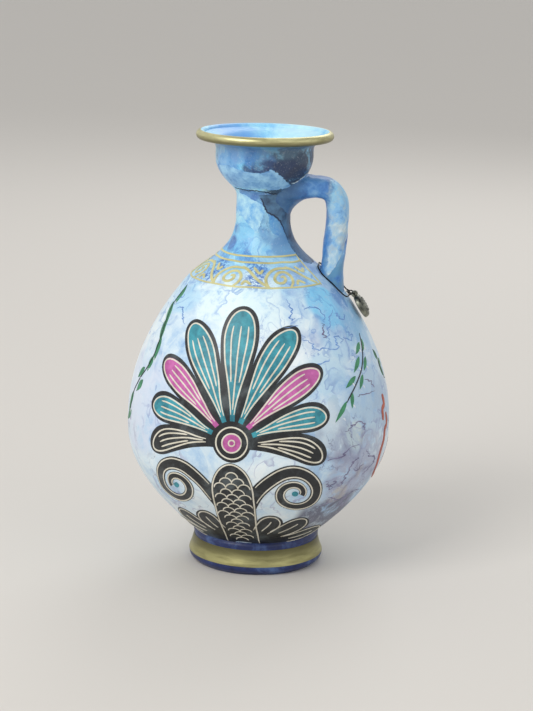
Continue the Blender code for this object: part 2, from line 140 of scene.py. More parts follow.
# Wire loop and medal, over the X axis
WIRE_RADIUS = 0.00045
WIRE_SIDE_PLAY = 0.0012
WIRE_TWIST_LENGTH = 0.0070
WIRE_TWIST_TURNS = 1.5
WIRE_STRAND_GAP = 0.00045
WIRE_CLEARANCE = 0.0003
EYE_REACH = 0.0118
EYE_LIFT = 0.0050
EYE_LENGTH = 0.0030
EYE_WALL = 0.0015
EYE_BORE_RADIUS = WIRE_RADIUS + WIRE_CLEARANCE
MEDAL_RADIUS = 0.0086
MEDAL_EDGE = 0.0032
MEDAL_DOME = 0.0020
MEDAL_BACK_DOME = MEDAL_DOME * 0.6
MEDAL_BACK_RADIUS = 0.0080
MEDAL_LAND = 0.0003
MEDAL_LEAN = math.radians(31.78)
EYE_TO_CENTRE = MEDAL_RADIUS + EYE_BORE_RADIUS
EYE_CHAMFER = 0.0003
LANDING_SPREAD = (1 + HANDLE_LOWER_SPREAD) / 2
ROOT_HALF_WIDTH = HANDLE_WIDTH / 2 * LANDING_SPREAD
ROOT_HALF_THICKNESS = HANDLE_THICKNESS / 2 * LANDING_SPREAD
WIRE_SIDES = 12
STEPS_PER_TWIST = 16

# Relief of the medal's face: radius and rise over its edge, then the pearls that stand on it
MEDAL_RELIEF = [(0.0030, 0.0017), (0.0056, 0.0010), (0.0063, 0.0006), (0.0067, 0.0007), (0.0075, 0.0004),
                (0.0083, -0.0004)]
PEARL_COUNT = 14
PEARL_CIRCLE = 0.0048
PEARL_RADIUS = 0.0005
PEARL_RISE = 0.0012

# Heights of the coats of paint over the glaze
UNDER_COAT = 0.00016
OVER_COAT = 0.00028
LINE_COAT = 0.00038
COAT_STEP = 0.00002
PAINT_DEPTH = 0.00045
VEIN_COAT = 0.00008
CROWN = COAT_STEP * 4
TAPER_POWER = 0.6
WAVER_SCALE = 320

# Turn of the strap handle's plane from the front
HANDLE_TURN = 85.0


# Small helpers

def srgb(colour):
    """Return a display colour, from 0 to 255, as a linear colour with alpha."""
    linear = []
    for channel in colour:
        share = channel / 255
        linear.append(share / 12.92 if share <= 0.04045 else ((share + 0.055) / 1.055) ** 2.4)
    return (*linear, 1.0)


def add_object(name, bm, material, smooth_angle=SKIN_ANGLE):
    """Make an object of a bmesh, with smooth shading up to an angle."""
    mesh = bpy.data.meshes.new(name)
    bm.to_mesh(mesh)
    bm.free()
    mesh.shade_smooth()
    mesh.set_sharp_from_angle(angle=smooth_angle)
    for each in material if isinstance(material, list) else [material]:
        mesh.materials.append(each)
    obj = bpy.data.objects.new(name, mesh)
    bpy.context.scene.collection.objects.link(obj)
    return obj


def dress(obj, body, slot, node=None):
    """Let an object ride a body, in place of a CAD node where one is named. The slot is not used."""
    if node:
        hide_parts(node)
    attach(obj, body)


def round_angles(count):
    """Return the angles of equal steps once round."""
    return [2 * math.pi * step / count for step in range(count)]


def bezier(start, after, before, end, t):
    """Return a place on a cubic curve, and the direction along it there."""
    s = 1 - t
    place = start * s ** 3 + after * 3 * s * s * t + before * 3 * s * t * t + end * t ** 3
    along = (after - start) * s * s + (before - after) * 2 * s * t + (end - before) * t * t
    return place, along.normalized()


def smooth_path(points, steps, cyclic=False):
    """Return points of a smooth curve through a list of points, as vectors."""
    points = [Vector(point) for point in points]
    if cyclic:
        ends = [points[-1], *points, points[0], points[1]]
    else:
        ends = [points[0] * 2 - points[1], *points, points[-1] * 2 - points[-2]]
    path = []
    for before, start, end, after in zip(ends, ends[1:], ends[2:], ends[3:]):
        for step in range(steps):
            t = step / steps
            path.append(0.5 * (2 * start + (end - before) * t
                               + (2 * before - 5 * start + 4 * end - after) * t * t
                               + (3 * start - before - 3 * end + after) * t ** 3))
    if not cyclic:
        path.append(points[-1])
    return path


def directions(path):
    """Return the direction along a path at each of its points."""
    return [(after - before).normalized() for before, after in zip(path[:1] + path, path[1:] + path[-1:])]


# Vessel wall

def heading(angle):
    """Return the direction at an angle from the first axis of a plane."""
    return Vector((math.cos(angle), math.sin(angle)))


def stretch(start, end, fullness, steps):
    """Sample one stretch of the outer wall, from the bottom up, as points with outward normals."""
    low = Vector(start[:2])
    high = Vector(end[:2])
    chord = (high - low).length
    first = low + heading(start[2]) * chord * fullness[0]
    second = high - heading(end[2]) * chord * fullness[1]
    samples = []
    for step in range(steps + 1):
        point, along = bezier(low, first, second, high, step / steps)
        samples.append((point, Vector((along.y, -along.x))))
    return samples


WALL = []
for piece in (LOWER_BODY, UPPER_BODY, CONE, TUBE, CUP, FLARE):
    WALL += stretch(*piece)[1 if WALL else 0:]
WALL_HEIGHTS = [point.y for point, _ in WALL]
WALL_ARCS = [0.0]
for (low_point, _), (high_point, _) in zip(WALL, WALL[1:]):
    WALL_ARCS.append(WALL_ARCS[-1] + (high_point - low_point).length)


def between(keys, value):
    """Return the index below a value in rising keys, and the share of the way to the next key."""
    index = min(max(bisect.bisect_right(keys, value) - 1, 0), len(keys) - 2)
    return index, (value - keys[index]) / (keys[index + 1] - keys[index])


def wall_at(height):
    """Return the wall's radius and outward normal at a height."""
    index, share = between(WALL_HEIGHTS, height)
    radius = WALL[index][0].x + (WALL[index + 1][0].x - WALL[index][0].x) * share
    return radius, WALL[index][1].lerp(WALL[index + 1][1], share).normalized()


def height_at(arc):
    """Return the height that lies a length along the wall above its base."""
    index, share = between(WALL_ARCS, arc)
    return WALL_HEIGHTS[index] + (WALL_HEIGHTS[index + 1] - WALL_HEIGHTS[index]) * share


def unevenness(polar, height):
    """Return how far the hand-thrown wall swells or sinks at a place."""
    around = Vector((math.cos(polar), math.sin(polar), height * SWELL_RISE))
    rings = math.sin(height * FINGER_RATE + FINGER_SWAY * noise.noise(around * FINGER_SCALE))
    return SWELL_DEPTH * noise.noise(around * SWELL_SCALE) + FINGER_DEPTH * rings


def on_wall(turn, height, lift=0.0):
    """Return a place on the wall, and the outward normal there."""
    polar = CAMERA_AZIMUTH - UPRIGHT + math.radians(turn)
    radius, slope = wall_at(height)
    out = heading(polar).to_3d()
    normal = out * slope.x + Vector((0.0, 0.0, slope.y))
    place = out * (radius + unevenness(polar, height)) + Vector((0.0, 0.0, height))
    return place + normal * lift, normal


# Materials

# Washes of colour in the glaze, two groups of them partly painted shade as marked: turn, height in
# millimetres, inner and outer reach, colour and strength
WASHES = [
    (58, 124, 0.014, 0.040, (178, 206, 230), 0.75),
    (50, 82, 0.012, 0.044, (162, 168, 194), 0.80),
    # Dark grey-blue low on the right: partly painted shade under the belly, partly darker glaze
    (46, 44, 0.010, 0.042, (88, 90, 114), 0.95),
    (72, 118, 0.010, 0.034, (160, 186, 216), 0.60),
    (46, 106, 0.003, 0.014, (204, 220, 222), 0.80),
    (44, 66, 0.002, 0.012, (190, 186, 178), 0.70),
    (52, 79, 0.002, 0.010, (188, 184, 178), 0.60),
    (46, 188, 0.007, 0.024, (118, 204, 246), 0.85),
    (44, 172, 0.004, 0.022, (126, 188, 232), 0.50),
    (34, 152, 0.006, 0.026, (180, 216, 238), 0.60),
    (72, 184, 0.010, 0.030, (128, 182, 226), 0.85),
    (68, 190, 0.004, 0.014, (78, 132, 196), 0.80),
    (73, 172, 0.006, 0.022, (140, 190, 226), 0.70),
    (59, 175, 0.004, 0.016, (134, 184, 222), 0.70),
    (-8, 196, 0.010, 0.034, (226, 246, 251), 0.80),
    (-36, 194, 0.008, 0.026, (228, 246, 251), 0.85),
    (-57, 189, 0.004, 0.017, (164, 214, 244), 0.60),
    (-62, 120, 0.010, 0.050, (206, 216, 240), 0.60),
    # Dark slate on the cup's right by the handle: partly the handle's painted shadow, partly darker glaze
    (60, 282, 0.014, 0.040, (58, 84, 112), 0.92),
    (56, 268, 0.012, 0.032, (52, 74, 100), 0.95),
    (0, 284, 0.003, 0.016, (86, 132, 186), 0.80),
    (-14, 277.5, 0.001, 0.009, (46, 76, 124), 0.90),
    (-2, 279, 0.001, 0.010, (40, 68, 116), 0.90),
    (10, 281, 0.001, 0.011, (42, 66, 110), 0.90),
    (24, 280, 0.002, 0.013, (38, 58, 94), 0.95),
    (38, 274, 0.003, 0.014, (34, 50, 80), 0.95),
    (-48, 286, 0.006, 0.020, (124, 170, 226), 0.65),
    (-28, 290, 0.004, 0.014, (118, 164, 222), 0.60),
    (-32, 258.5, 0.002, 0.010, (86, 138, 204), 0.85),
    (-6, 256.5, 0.002, 0.010, (78, 126, 190), 0.85),
    (-58, 234, 0.001, 0.008, (70, 98, 166), 0.85),
    (-65, 225, 0.001, 0.010, (78, 110, 178), 0.80),
    (-20, 232, 0.006, 0.018, (140, 204, 240), 0.70),
    (30, 236, 0.005, 0.018, (104, 156, 204), 0.80),
    (46, 224, 0.003, 0.013, (92, 144, 196), 0.75),
]
SMALL_WASH = 0.018
# Band just under the rim, darkened all round: partly the rim's painted shadow, partly grey-blue stain
UNDER_RIM = (0.2880, 0.2925)

# Patches on the glaze inside the mouth, in the same terms as the washes: a deeper blue patch on the inner
# left, partly painted shade, and a painted highlight on the lit inner right wall
MOUTH_LIGHT_AND_BLOOMS = [
    (-138, 291, 0.008, 0.028, (112, 164, 228), 0.80),
    (138, 292, 0.008, 0.030, (208, 244, 251), 0.65),
]
VEINED_PLACES = [(36, 174), (50, 160), (40, 92), (50, 76), (58, 56)]

# Torn film on the strap's outer side: its inner edge along X, and the slanting edge where it ends below
FILM_EDGE = (0.0427, 0.0479)
FILM_TIP = (0.2067, 0.2083)
FILM_TIP_REACH = 0.0475
FILM_TIP_SLOPE = 1.7
FILM_TIP_SLANT = 0.7

# Tones of the mottled glazes, as stops of (value, display colour)
BELLY_TONES = [(0.32, (146, 188, 230)), (0.43, (190, 217, 240)), (0.51, (214, 233, 245)),
               (0.62, (236, 246, 250))]
SKY_TONES = [(0.33, (44, 86, 150)), (0.43, (80, 148, 214)), (0.51, (124, 200, 242)), (0.61, (184, 236, 251))]
STRAP_TONES = [(0.30, (34, 66, 122)), (0.44, (66, 124, 196)), (0.54, (96, 158, 222)), (0.68, (158, 210, 246))]
FILM_TONES = [(0.32, (92, 142, 200)), (0.46, (136, 188, 232)), (0.56, (168, 204, 226)),
              (0.70, (214, 230, 238))]
COBALT_TONES = [(0.30, (20, 28, 66)), (0.52, (34, 50, 104)), (0.72, (84, 112, 164))]

# Tints that are laid over the tones, as display colours
RIM_SHADE_AND_STAIN = (66, 94, 128)
GRAIN_WHITE = (246, 249, 252)
BAND_BLUE = (54, 106, 188)
LOW_BLOOM, HIGH_BLOOM = (150, 146, 186), (88, 146, 212)
LOW_VEIN, MIDDLE_VEIN, HIGH_VEIN = (98, 90, 130), (74, 120, 196), (44, 84, 142)
CREST_BLUE = (62, 112, 178)
BRIGHT_FILM = (142, 208, 242)
WARM_FILM = (196, 200, 192)
FILM_EDGE_BLUE = (54, 94, 156)
ROOT_SLATE_AND_SHADE = (58, 90, 122)
STRAP_FOOT_BLUE = (92, 146, 182)
WORN_GOLD = (78, 70, 58)
FLOOR_GREY = (214, 210, 204)
# Share of the dark gold that is kept in the gilding's painted shade
PAINTED_SHADE_SHARE = 0.66
BRUSH_STRETCH = (0.35, 0.35, 2.2)


class Value:
    """A value in a finish's node tree, on which plain sums and steps build."""

    def __init__(self, finish, socket):
        self.finish = finish
        self.socket = socket

    def __add__(self, other):
        return self.finish.math("ADD", self, other)

    def __sub__(self, other):
        return self.finish.math("SUBTRACT", self, other)

    def __rsub__(self, other):
        return self.finish.math("SUBTRACT", other, self)

    def __mul__(self, other):
        return self.finish.math("MULTIPLY", self, other)

    def band(self, low, high):
        """Return 0 to 1 as the value goes from low to high."""
        inputs = {"Value": self, "From Min": low, "From Max": high}
        return self.finish.node("MapRange", inputs, "Result", interpolation_type="SMOOTHSTEP")

    def fall(self, low, high):
        """Return 1 to 0 as the value goes from low to high."""
        return 1.0 - self.band(low, high)

    def tones(self, stops):
        """Return the colour at the value, along stops of (value, display colour)."""
        colour = self.finish.node("ValToRGB", {"Fac": self}, "Color")
        elements = colour.socket.node.color_ramp.elements
        while len(elements) < len(stops):
            elements.new(0.5)
        for element, (position, tone) in zip(elements, stops):
            element.position = position
            element.color = srgb(tone)
        return colour


class Finish:
    """One material's node tree, with short calls for the nodes that the finishes share."""

    def __init__(self, name, roughness, metallic=0.0):
        self.material = bpy.data.materials.new(name)
        self.material.use_nodes = True
        self.tree = self.material.node_tree
        self.shader = self.tree.nodes["Principled BSDF"]
        self.set("Roughness", roughness)
        self.set("Metallic", metallic)
        self.place = self.node("TexCoord", {}, "Object")

    def put(self, socket, value):
        """Link a socket to a value, or set it to a plain number, place or colour."""
        if isinstance(value, Value):
            self.tree.links.new(value.socket, socket)
        else:
            socket.default_value = value

    def set(self, name, value):
        """Set one of the shader's inputs."""
        self.put(self.shader.inputs[name], value)

    def node(self, kind, inputs, output, **settings):
        """Add a node, with its settings and inputs, and return one of its outputs."""
        node = self.tree.nodes.new("ShaderNode" + kind)
        for name, setting in settings.items():
            setattr(node, name, setting)
        for key, value in inputs.items():
            self.put(node.inputs[key], value)
        return Value(self, node.outputs[output])

    def noise(self, scale, detail=4.0, rough=0.5, at=None, output="Fac"):
        """Return noise, as a value or as a colour."""
        inputs = {"Vector": at or self.place, "Scale": scale, "Detail": detail, "Roughness": rough}
        return self.node("TexNoise", inputs, output)

    def cells(self, scale, at, output, feature="F1"):
        """Return one output of a cell texture."""
        return self.node("TexVoronoi", {"Vector": at, "Scale": scale}, output, feature=feature)

    def math(self, operation, first, second=0.0):
        """Return a sum of two values."""
        return self.node("Math", {0: first, 1: second}, 0, operation=operation)

    def vector(self, operation, first, second, key=1, output="Vector"):
        """Return a sum of two places."""
        return self.node("VectorMath", {0: first, key: second}, output, operation=operation)

    def warp(self, scale, amount, at=None, detail=3.0):
        """Return a place that is pushed about by noise."""
        push = self.vector("SUBTRACT", self.noise(scale, detail, at=at, output="Color"), (0.5, 0.5, 0.5))
        return self.vector("ADD", at or self.place, self.vector("SCALE", push, amount, "Scale"))

    def axis(self, letter, at=None):
        """Return how far a place lies along X, Y or Z."""
        return self.node("SeparateXYZ", {0: at or self.place}, letter)

    def near(self, at, turn, height_mm, inner, outer):
        """Return 1 near a place on the wall, falling to 0 at the outer distance."""
        centre = tuple(on_wall(turn, height_mm * MM)[0])
        return self.vector("DISTANCE", at, centre, output="Value").fall(inner, outer)

    def mix(self, share, first, second):
        """Mix two colours, each a value or a display colour."""
        first, second = [srgb(each) if isinstance(each, tuple) else each for each in (first, second)]
        return self.node("Mix", {"Factor": share, 6: first, 7: second}, 2, data_type="RGBA")

    def bump(self, value, strength, distance):
        """Roughen the surface with a height value."""
        inputs = {"Strength": strength, "Distance": distance, "Height": value}
        self.set("Normal", self.node("Bump", inputs, "Normal"))


def marbled_glaze():
    """Return the satin glaze: sky blue above, milky on the belly, veined and bloomed like marble."""
    finish = Finish("marbled_glaze", 0.42)
    soft = finish.warp(16, 0.030)
    torn_place = finish.warp(60, 0.012, soft, 5.0)
    clouds = finish.noise(20, 6.0, 0.55, soft)
    fine = finish.noise(95, 6.0, 0.72, torn_place)
    patch_tone = (finish.axis("Z", finish.cells(34, torn_place, "Color")) - 0.5) * 0.12
    tone = clouds * 0.54 + fine * 0.46 + patch_tone
    rise = finish.axis("Z") + (clouds - 0.5) * 0.09
    colour = finish.mix(rise.band(0.176, 0.226), tone.tones(BELLY_TONES), tone.tones(SKY_TONES))
    # Some washes are partly painted shade: low on the right, and on the cup's right by the handle.
    for turn, height_mm, inner, outer, tint, strength in WASHES:
        tear = 4.0 if outer > SMALL_WASH else 1.0
        wash = finish.near(soft, turn, height_mm, inner, outer) + patch_tone * tear
        colour = finish.mix(wash.band(0.18, 0.62) * fine.band(0.28, 0.54) * strength, colour, tint)
    # Darken the band under the rim: partly the rim's painted shadow, partly grey-blue stain.
    colour = finish.mix(finish.axis("Z").band(*UNDER_RIM) * 0.55, colour, RIM_SHADE_AND_STAIN)
    colour = band_ground(finish, colour)
    colour, vein = marble_veins(finish, colour, soft, torn_place)
    grain = finish.noise(700, 2.0, 0.7).band(0.55, 0.80) * 0.25
    finish.set("Base Color", finish.mix(grain, colour, GRAIN_WHITE))
    finish.set("Roughness", fine * 0.20 + 0.34)
    finish.set("Coat Weight", 0.15)
    finish.set("Coat Roughness", 0.30)
    finish.bump(fine * 0.7 + vein * -0.25, 0.35, 0.0006)
    return finish.material


def band_ground(finish, colour):
    """Speckle the glaze royal blue between the spirals of the gold band."""
    grains = finish.noise(520, 4.0, 0.7).band(0.44, 0.56)
    for unit in range(BAND_UNITS):
        turn = BAND_LAST_SPIRAL - BAND_PITCH * (unit + 0.5)
        for height_mm in BAND_GROUND:
            share = finish.near(finish.place, turn, height_mm, 0.004, 0.0110) * grains * 0.88
            colour = finish.mix(share, colour, BAND_BLUE)
    return colour


def marble_veins(finish, colour, soft, torn_place):
    """Draw blooms with dark edges, blurred veins and thin winding threads, densest on the right."""
    height = finish.axis("Z")
    contour = finish.math("FRACT", finish.noise(24, 3.0, 0.5, torn_place) * 9.0)
    bloom = contour.band(0.78, 0.99) * finish.noise(30, 2.0).band(0.44, 0.58)
    bloom_tint = finish.mix(height.band(0.06, 0.20), LOW_BLOOM, HIGH_BLOOM)
    colour = finish.mix(bloom * 0.55, colour, bloom_tint)

    dense = finish.noise(26, 3.0, at=soft)
    for turn, height_mm in VEINED_PLACES:
        dense = dense + finish.near(soft, turn, height_mm, 0.008, 0.036) * 0.12
    beat = finish.noise(85, 3.0, 0.6).band(0.40, 0.62)
    crack = finish.cells(38, torn_place, "Distance", "DISTANCE_TO_EDGE")
    vein = crack.fall(0.0, 0.14) * 0.42 + crack.fall(0.0, 0.034) * beat * 0.50
    winding = finish.math("ABSOLUTE", finish.noise(44, 5.0, 0.6, torn_place) - 0.5)
    thread = winding.fall(0.0, 0.014) * beat * dense.band(0.50, 0.62)
    both = finish.math("MAXIMUM", vein * dense.band(0.54, 0.68), thread)
    low_tint = finish.mix(height.band(0.10, 0.15), LOW_VEIN, MIDDLE_VEIN)
    tint = finish.mix(height.band(0.20, 0.24), low_tint, HIGH_VEIN)
    return finish.mix(both * 0.70, colour, tint), both


def handle_glaze():
    """Return the handle's glaze: deep mottled blue, under a torn pale film on the strap's outer side."""
    finish = Finish("handle_glaze", 0.44)
    torn_place = finish.warp(110, 0.006, finish.warp(30, 0.020), 5.0)
    clouds = finish.noise(62, 7.0, 0.66, torn_place)
    stains = finish.noise(105, 6.0, 0.66, torn_place)
    height = finish.axis("Z")
    sway = (clouds - 0.5) * 0.016
    reach = finish.axis("X") + sway + (stains - 0.5) * 0.012
    drop = (finish.axis("X") - FILM_TIP_REACH) * FILM_TIP_SLOPE
    aside = (finish.axis("Y") + HANDLE_WIDTH / 2) * FILM_TIP_SLANT
    film = reach.band(*FILM_EDGE) * (height - drop + sway - aside).band(*FILM_TIP)
    bare = 1.0 - film

    colour = finish.mix(height.band(0.250, 0.262) * 0.40, clouds.tones(STRAP_TONES), CREST_BLUE)
    pale = finish.mix(height.band(0.244, 0.262) * 0.55, stains.tones(FILM_TONES), BRIGHT_FILM)
    warm = finish.noise(70, 4.0, 0.6).band(0.50, 0.64) * 0.45
    colour = finish.mix(film, colour, finish.mix(warm, pale, WARM_FILM))
    colour = finish.mix(film * bare * 1.2, colour, FILM_EDGE_BLUE)
    # Slate near the handle's root where it meets the neck: partly painted shade between handle and neck,
    # partly darker glaze.
    colour = finish.mix(reach.fall(0.018, 0.034) * 0.72, colour, ROOT_SLATE_AND_SHADE)
    foot = (height + sway).fall(0.208, 0.226) * bare * stains.band(0.34, 0.60)
    finish.set("Base Color", finish.mix(foot * 0.90, colour, STRAP_FOOT_BLUE))
    finish.bump(clouds + film, 0.40, 0.0006)
    return finish.material


def gilding(name, light, dark, wear, metallic, painted_shade_heights=None):
    """Return gold paint brushed round the jug, worn in specks, and darkened from one height to another as
    painted shade.
    """
    finish = Finish(name, 0.40, metallic)
    brushed = finish.vector("MULTIPLY", finish.warp(40, 0.004), BRUSH_STRETCH)
    streaks = finish.noise(150, 5.0, 0.6, brushed)
    colour = streaks.tones([(0.30, dark), (0.60, light)])
    # Painted shade: the gold darkens from the first height to the second. On the rim this is the bead's
    # underside. On the foot it is the band's top, and the lower edge stays lighter as a painted reflection.
    if painted_shade_heights:
        shade_tint = tuple(channel * PAINTED_SHADE_SHARE for channel in dark)
        colour = finish.mix(finish.axis("Z").band(*painted_shade_heights) * 0.85, colour, shade_tint)
    worn = finish.noise(420, 4.0, 0.7).band(0.60, 0.74) * wear
    finish.set("Base Color", finish.mix(worn, colour, WORN_GOLD))
    finish.set("Roughness", streaks * 0.22 + 0.28)
    finish.bump(streaks, 0.15, 0.0003)
    return finish.material


def cobalt_paint():
    """Return the foot's cobalt paint, brushed in streaks round the ring."""
    finish = Finish("cobalt_paint", 0.38)
    brushed = finish.noise(60, 6.0, 0.65, finish.warp(30, 0.02))
    finish.set("Base Color", brushed.tones(COBALT_TONES))
    finish.bump(brushed, 0.25, 0.0004)
    return finish.material


def plain_metal(name, light, dark, roughness):
    """Return a dull metal, darker in patches."""
    finish = Finish(name, roughness, 0.85)
    patches = finish.noise(190, 4.0, 0.55)
    finish.set("Base Color", patches.tones([(0.34, dark), (0.62, light)]))
    finish.bump(patches, 0.15, 0.0002)
    return finish.material


def plain_paint(name, light, dark, roughness=0.45, scuff=None, blooms=()):
    """Return brushed paint, mottled between two colours, scuffed in places, with patches laid over it where
    given.
    """
    finish = Finish(name, roughness)
    swayed = finish.warp(50, 0.01)
    mottle = finish.noise(130, 6.0, 0.65, swayed)
    colour = mottle.tones([(0.34, dark), (0.62, light)])
    if scuff:
        rubbed = finish.noise(48, 6.0, 0.7).band(0.48, 0.70) * 0.60
        colour = finish.mix(rubbed, colour, scuff)
    # The patches given for the inside of the mouth are partly painted light and shade.
    for turn, height_mm, inner, outer, tint, strength in blooms:
        colour = finish.mix(finish.near(swayed, turn, height_mm, inner, outer) * strength, colour, tint)
    finish.set("Base Color", colour)
    finish.bump(mottle, 0.2, 0.0003)
    return finish.material


# Stage: floor, light and camera

SENSOR_HEIGHT = 36.0
FLOOR_HALF_SIZE = 15.0
LIT_PLACE = Vector((0.0, 0.0, 0.14))
SKY_STRENGTH = 0.66

# Soft square lights: name, place, size, power and colour
LIGHTS = [
    ("key_light", (-1.1, -1.4, 1.6), 1.1, 24.0, (1.0, 0.99, 0.97)),
    ("fill_light", (1.6, -1.1, 1.0), 1.2, 3.0, (0.97, 0.98, 1.0)),
    ("back_light", (0.3, 1.7, 1.4), 1.0, 8.0, (1.0, 1.0, 1.0)),
]


def set_camera():
    """Put the camera where the photograph was taken from."""
    lens = bpy.data.cameras.new("photo_camera")
    lens.sensor_fit = "VERTICAL"
    lens.sensor_height = SENSOR_HEIGHT
    lens.lens = SENSOR_HEIGHT * CAMERA_FOCUS_PX / FRAME_HEIGHT_PX
    lens.shift_x = CAMERA_OFFSET_PX / FRAME_HEIGHT_PX
    camera = bpy.data.objects.new("photo_camera", lens)
    turn = Matrix.Rotation(CAMERA_AZIMUTH, 4, "Z")
    place = Matrix.Translation((0.0, -CAMERA_DISTANCE, CAMERA_HEIGHT))
    tilt = Matrix.Rotation(UPRIGHT - CAMERA_PITCH, 4, "X") @ Matrix.Rotation(CAMERA_ROLL, 4, "Z")
    camera.matrix_world = turn @ place @ tilt
    bpy.context.scene.collection.objects.link(camera)
    bpy.context.scene.camera = camera


def add_light(name, place, size, power, colour):
    """Add a soft square light that faces the jug."""
    lamp = bpy.data.lights.new(name, "AREA")
    lamp.size = size
    lamp.energy = power
    lamp.color = colour
    obj = bpy.data.objects.new(name, lamp)
    obj.location = place
    obj.rotation_euler = (LIT_PLACE - Vector(place)).to_track_quat("-Z", "Y").to_euler()
    bpy.context.scene.collection.objects.link(obj)


def set_stage():
    """Add a plain pale floor, soft studio light and an even sky."""
    finish = Finish("pale_floor", 0.8)
    finish.set("Base Color", srgb(FLOOR_GREY))
    bm = bmesh.new()
    bmesh.ops.create_grid(bm, x_segments=8, y_segments=8, size=FLOOR_HALF_SIZE)
    add_object("floor", bm, finish.material)
    for light in LIGHTS:
        add_light(*light)
    world = bpy.data.worlds.new("studio")
    world.use_nodes = True
    sky = world.node_tree.nodes["Background"]
    sky.inputs["Color"].default_value = (1.0, 1.0, 1.0, 1.0)
    sky.inputs["Strength"].default_value = SKY_STRENGTH
    bpy.context.scene.world = world
    bpy.context.scene.view_settings.view_transform = "Standard"


# Vessel skins

RIM_STEPS = 36


def ring_skin(name, outline, materials, segments=SEGMENTS, uneven=True, second_from=None):
    """Turn a closed outline of (radius, height) points. Past a point of it, the second material holds."""
    bm = bmesh.new()
    rings = []
    for polar in round_angles(segments):
        ring = []
        for radius, height in outline:
            reach = radius + (unevenness(polar, height) if uneven and radius else 0.0)
            ring.append(bm.verts.new((reach * math.cos(polar), reach * math.sin(polar), height)))
        rings.append(ring)
    count = len(outline)
    for here, there in zip(rings, rings[1:] + rings[:1]):
        for index in range(count):
            following = (index + 1) % count
            face = bm.faces.new((here[index], there[index], there[following], here[following]))
            face.material_index = int(second_from is not None and index >= second_from)
    bmesh.ops.remove_doubles(bm, verts=bm.verts, dist=SAME_PLACE)
    bmesh.ops.dissolve_degenerate(bm, edges=bm.edges, dist=SAME_PLACE)
    loose = [edge for edge in bm.edges if not edge.link_faces]
    bmesh.ops.delete(bm, geom=loose, context="EDGES")
    bmesh.ops.recalc_face_normals(bm, faces=bm.faces)
    return add_object(name, bm, materials)


def shell_outline(pieces, low_wall, high_wall, inner_share=3):
    """Return a section's outline: up its outer side, then down its inner side with fewer points."""
    samples = []
    for piece in pieces:
        samples += stretch(*piece)[1 if samples else 0:]
    last = len(samples) - 1
    inner = []
    for index in sorted({*range(0, last, inner_share), last}, reverse=True):
        point, normal = samples[index]
        inner.append(point - normal * (low_wall + (high_wall - low_wall) * index / last))
    return [tuple(point) for point, _ in samples] + [tuple(point) for point in inner]


def vessel(glaze, inner_glaze):
    """Add the vessel's glazed sections. They meet face to face, as luted and smoothed clay."""
    lower = shell_outline([LOWER_BODY], BODY_WALL, BODY_WALL)
    lower = [(0.0, BASE[1]), *lower, (0.0, lower[-1][1])]
    upper = shell_outline([UPPER_BODY], BODY_WALL, BODY_WALL)
    neck = shell_outline([CONE, TUBE], BODY_WALL, NECK_WALL)
    cup = shell_outline([CUP, FLARE], NECK_WALL, LIP_WALL, 2)
    sections = [
        ("glazed_lower_body", lower, "lower_body", "body_glaze", None),
        ("glazed_upper_body", upper, "upper_body", "body_glaze", None),
        ("glazed_neck", neck, "neck_and_shoulder", "neck_glaze", None),
        ("glazed_mouth_cup", cup, "mouth_cup", "neck_glaze", CUP[3] + FLARE[3]),
    ]
    for name, outline, node, slot, inside in sections:
        dress(ring_skin(name, outline, [glaze, inner_glaze], second_from=inside), "jug", slot, node)


def gilded_rim(gold, inner_glaze):
    """Add the bead round the lip, gilded from its crest outward and glazed inside."""
    lip, normal = stretch(*FLARE)[-1]
    along = Vector((-normal.y, normal.x))
    centre = lip - normal * LIP_WALL / 2 + along * BEAD_SEAT_DEPTH
    crest = LIP[2] - UPRIGHT
    outline = []
    for angle in round_angles(RIM_STEPS):
        side = along * math.cos(crest + angle) + normal * math.sin(crest + angle)
        outline.append(tuple(centre + side * BEAD_RADIUS))
    glazed_from = round(RIM_STEPS * RIM_GOLD_SHARE)
    rim = ring_skin("gilded_rim", outline, [gold, inner_glaze], second_from=glazed_from)
    dress(rim, "jug", "rim_gilding", "rim_bead")


def painted_foot(cobalt, gold):
    """Add the flared foot ring, and the gold band painted round its hollow side."""
    outline = [tuple(point) for point in smooth_path(FOOT_SIDE, 6)]
    bore = [(FOOT_BORE_RADIUS, FOOT_HEIGHT), (FOOT_BORE_RADIUS, 0.0)]
    dress(ring_skin("painted_foot", outline + bore, cobalt), "jug", "foot_glaze", "foot_ring")
    banded = [point for point in outline if FOOT_BAND[0] <= point[1] <= FOOT_BAND[1]]
    outside = [(radius + OVER_COAT, height) for radius, height in banded]
    inside = [(radius - PAINT_DEPTH, height) for radius, height in reversed(banded)]
    dress(ring_skin("foot_gold_band", outside + inside, gold), "jug", "foot_glaze")


# Strap handle

def height_over_wall(place):
    """Return how far a place stands off the wall, and the wall's outward normal there."""
    radius = math.hypot(place.x, place.y)
    section = Vector((radius, place.z))
    point, normal = min(WALL, key=lambda sample: (section - sample[0]).length_squared)
    out = Vector((place.x / radius, place.y / radius, 0.0)) if radius else Vector((1.0, 0.0, 0.0))
    return (section - point).dot(normal), out * normal.x + Vector((0.0, 0.0, normal.y))


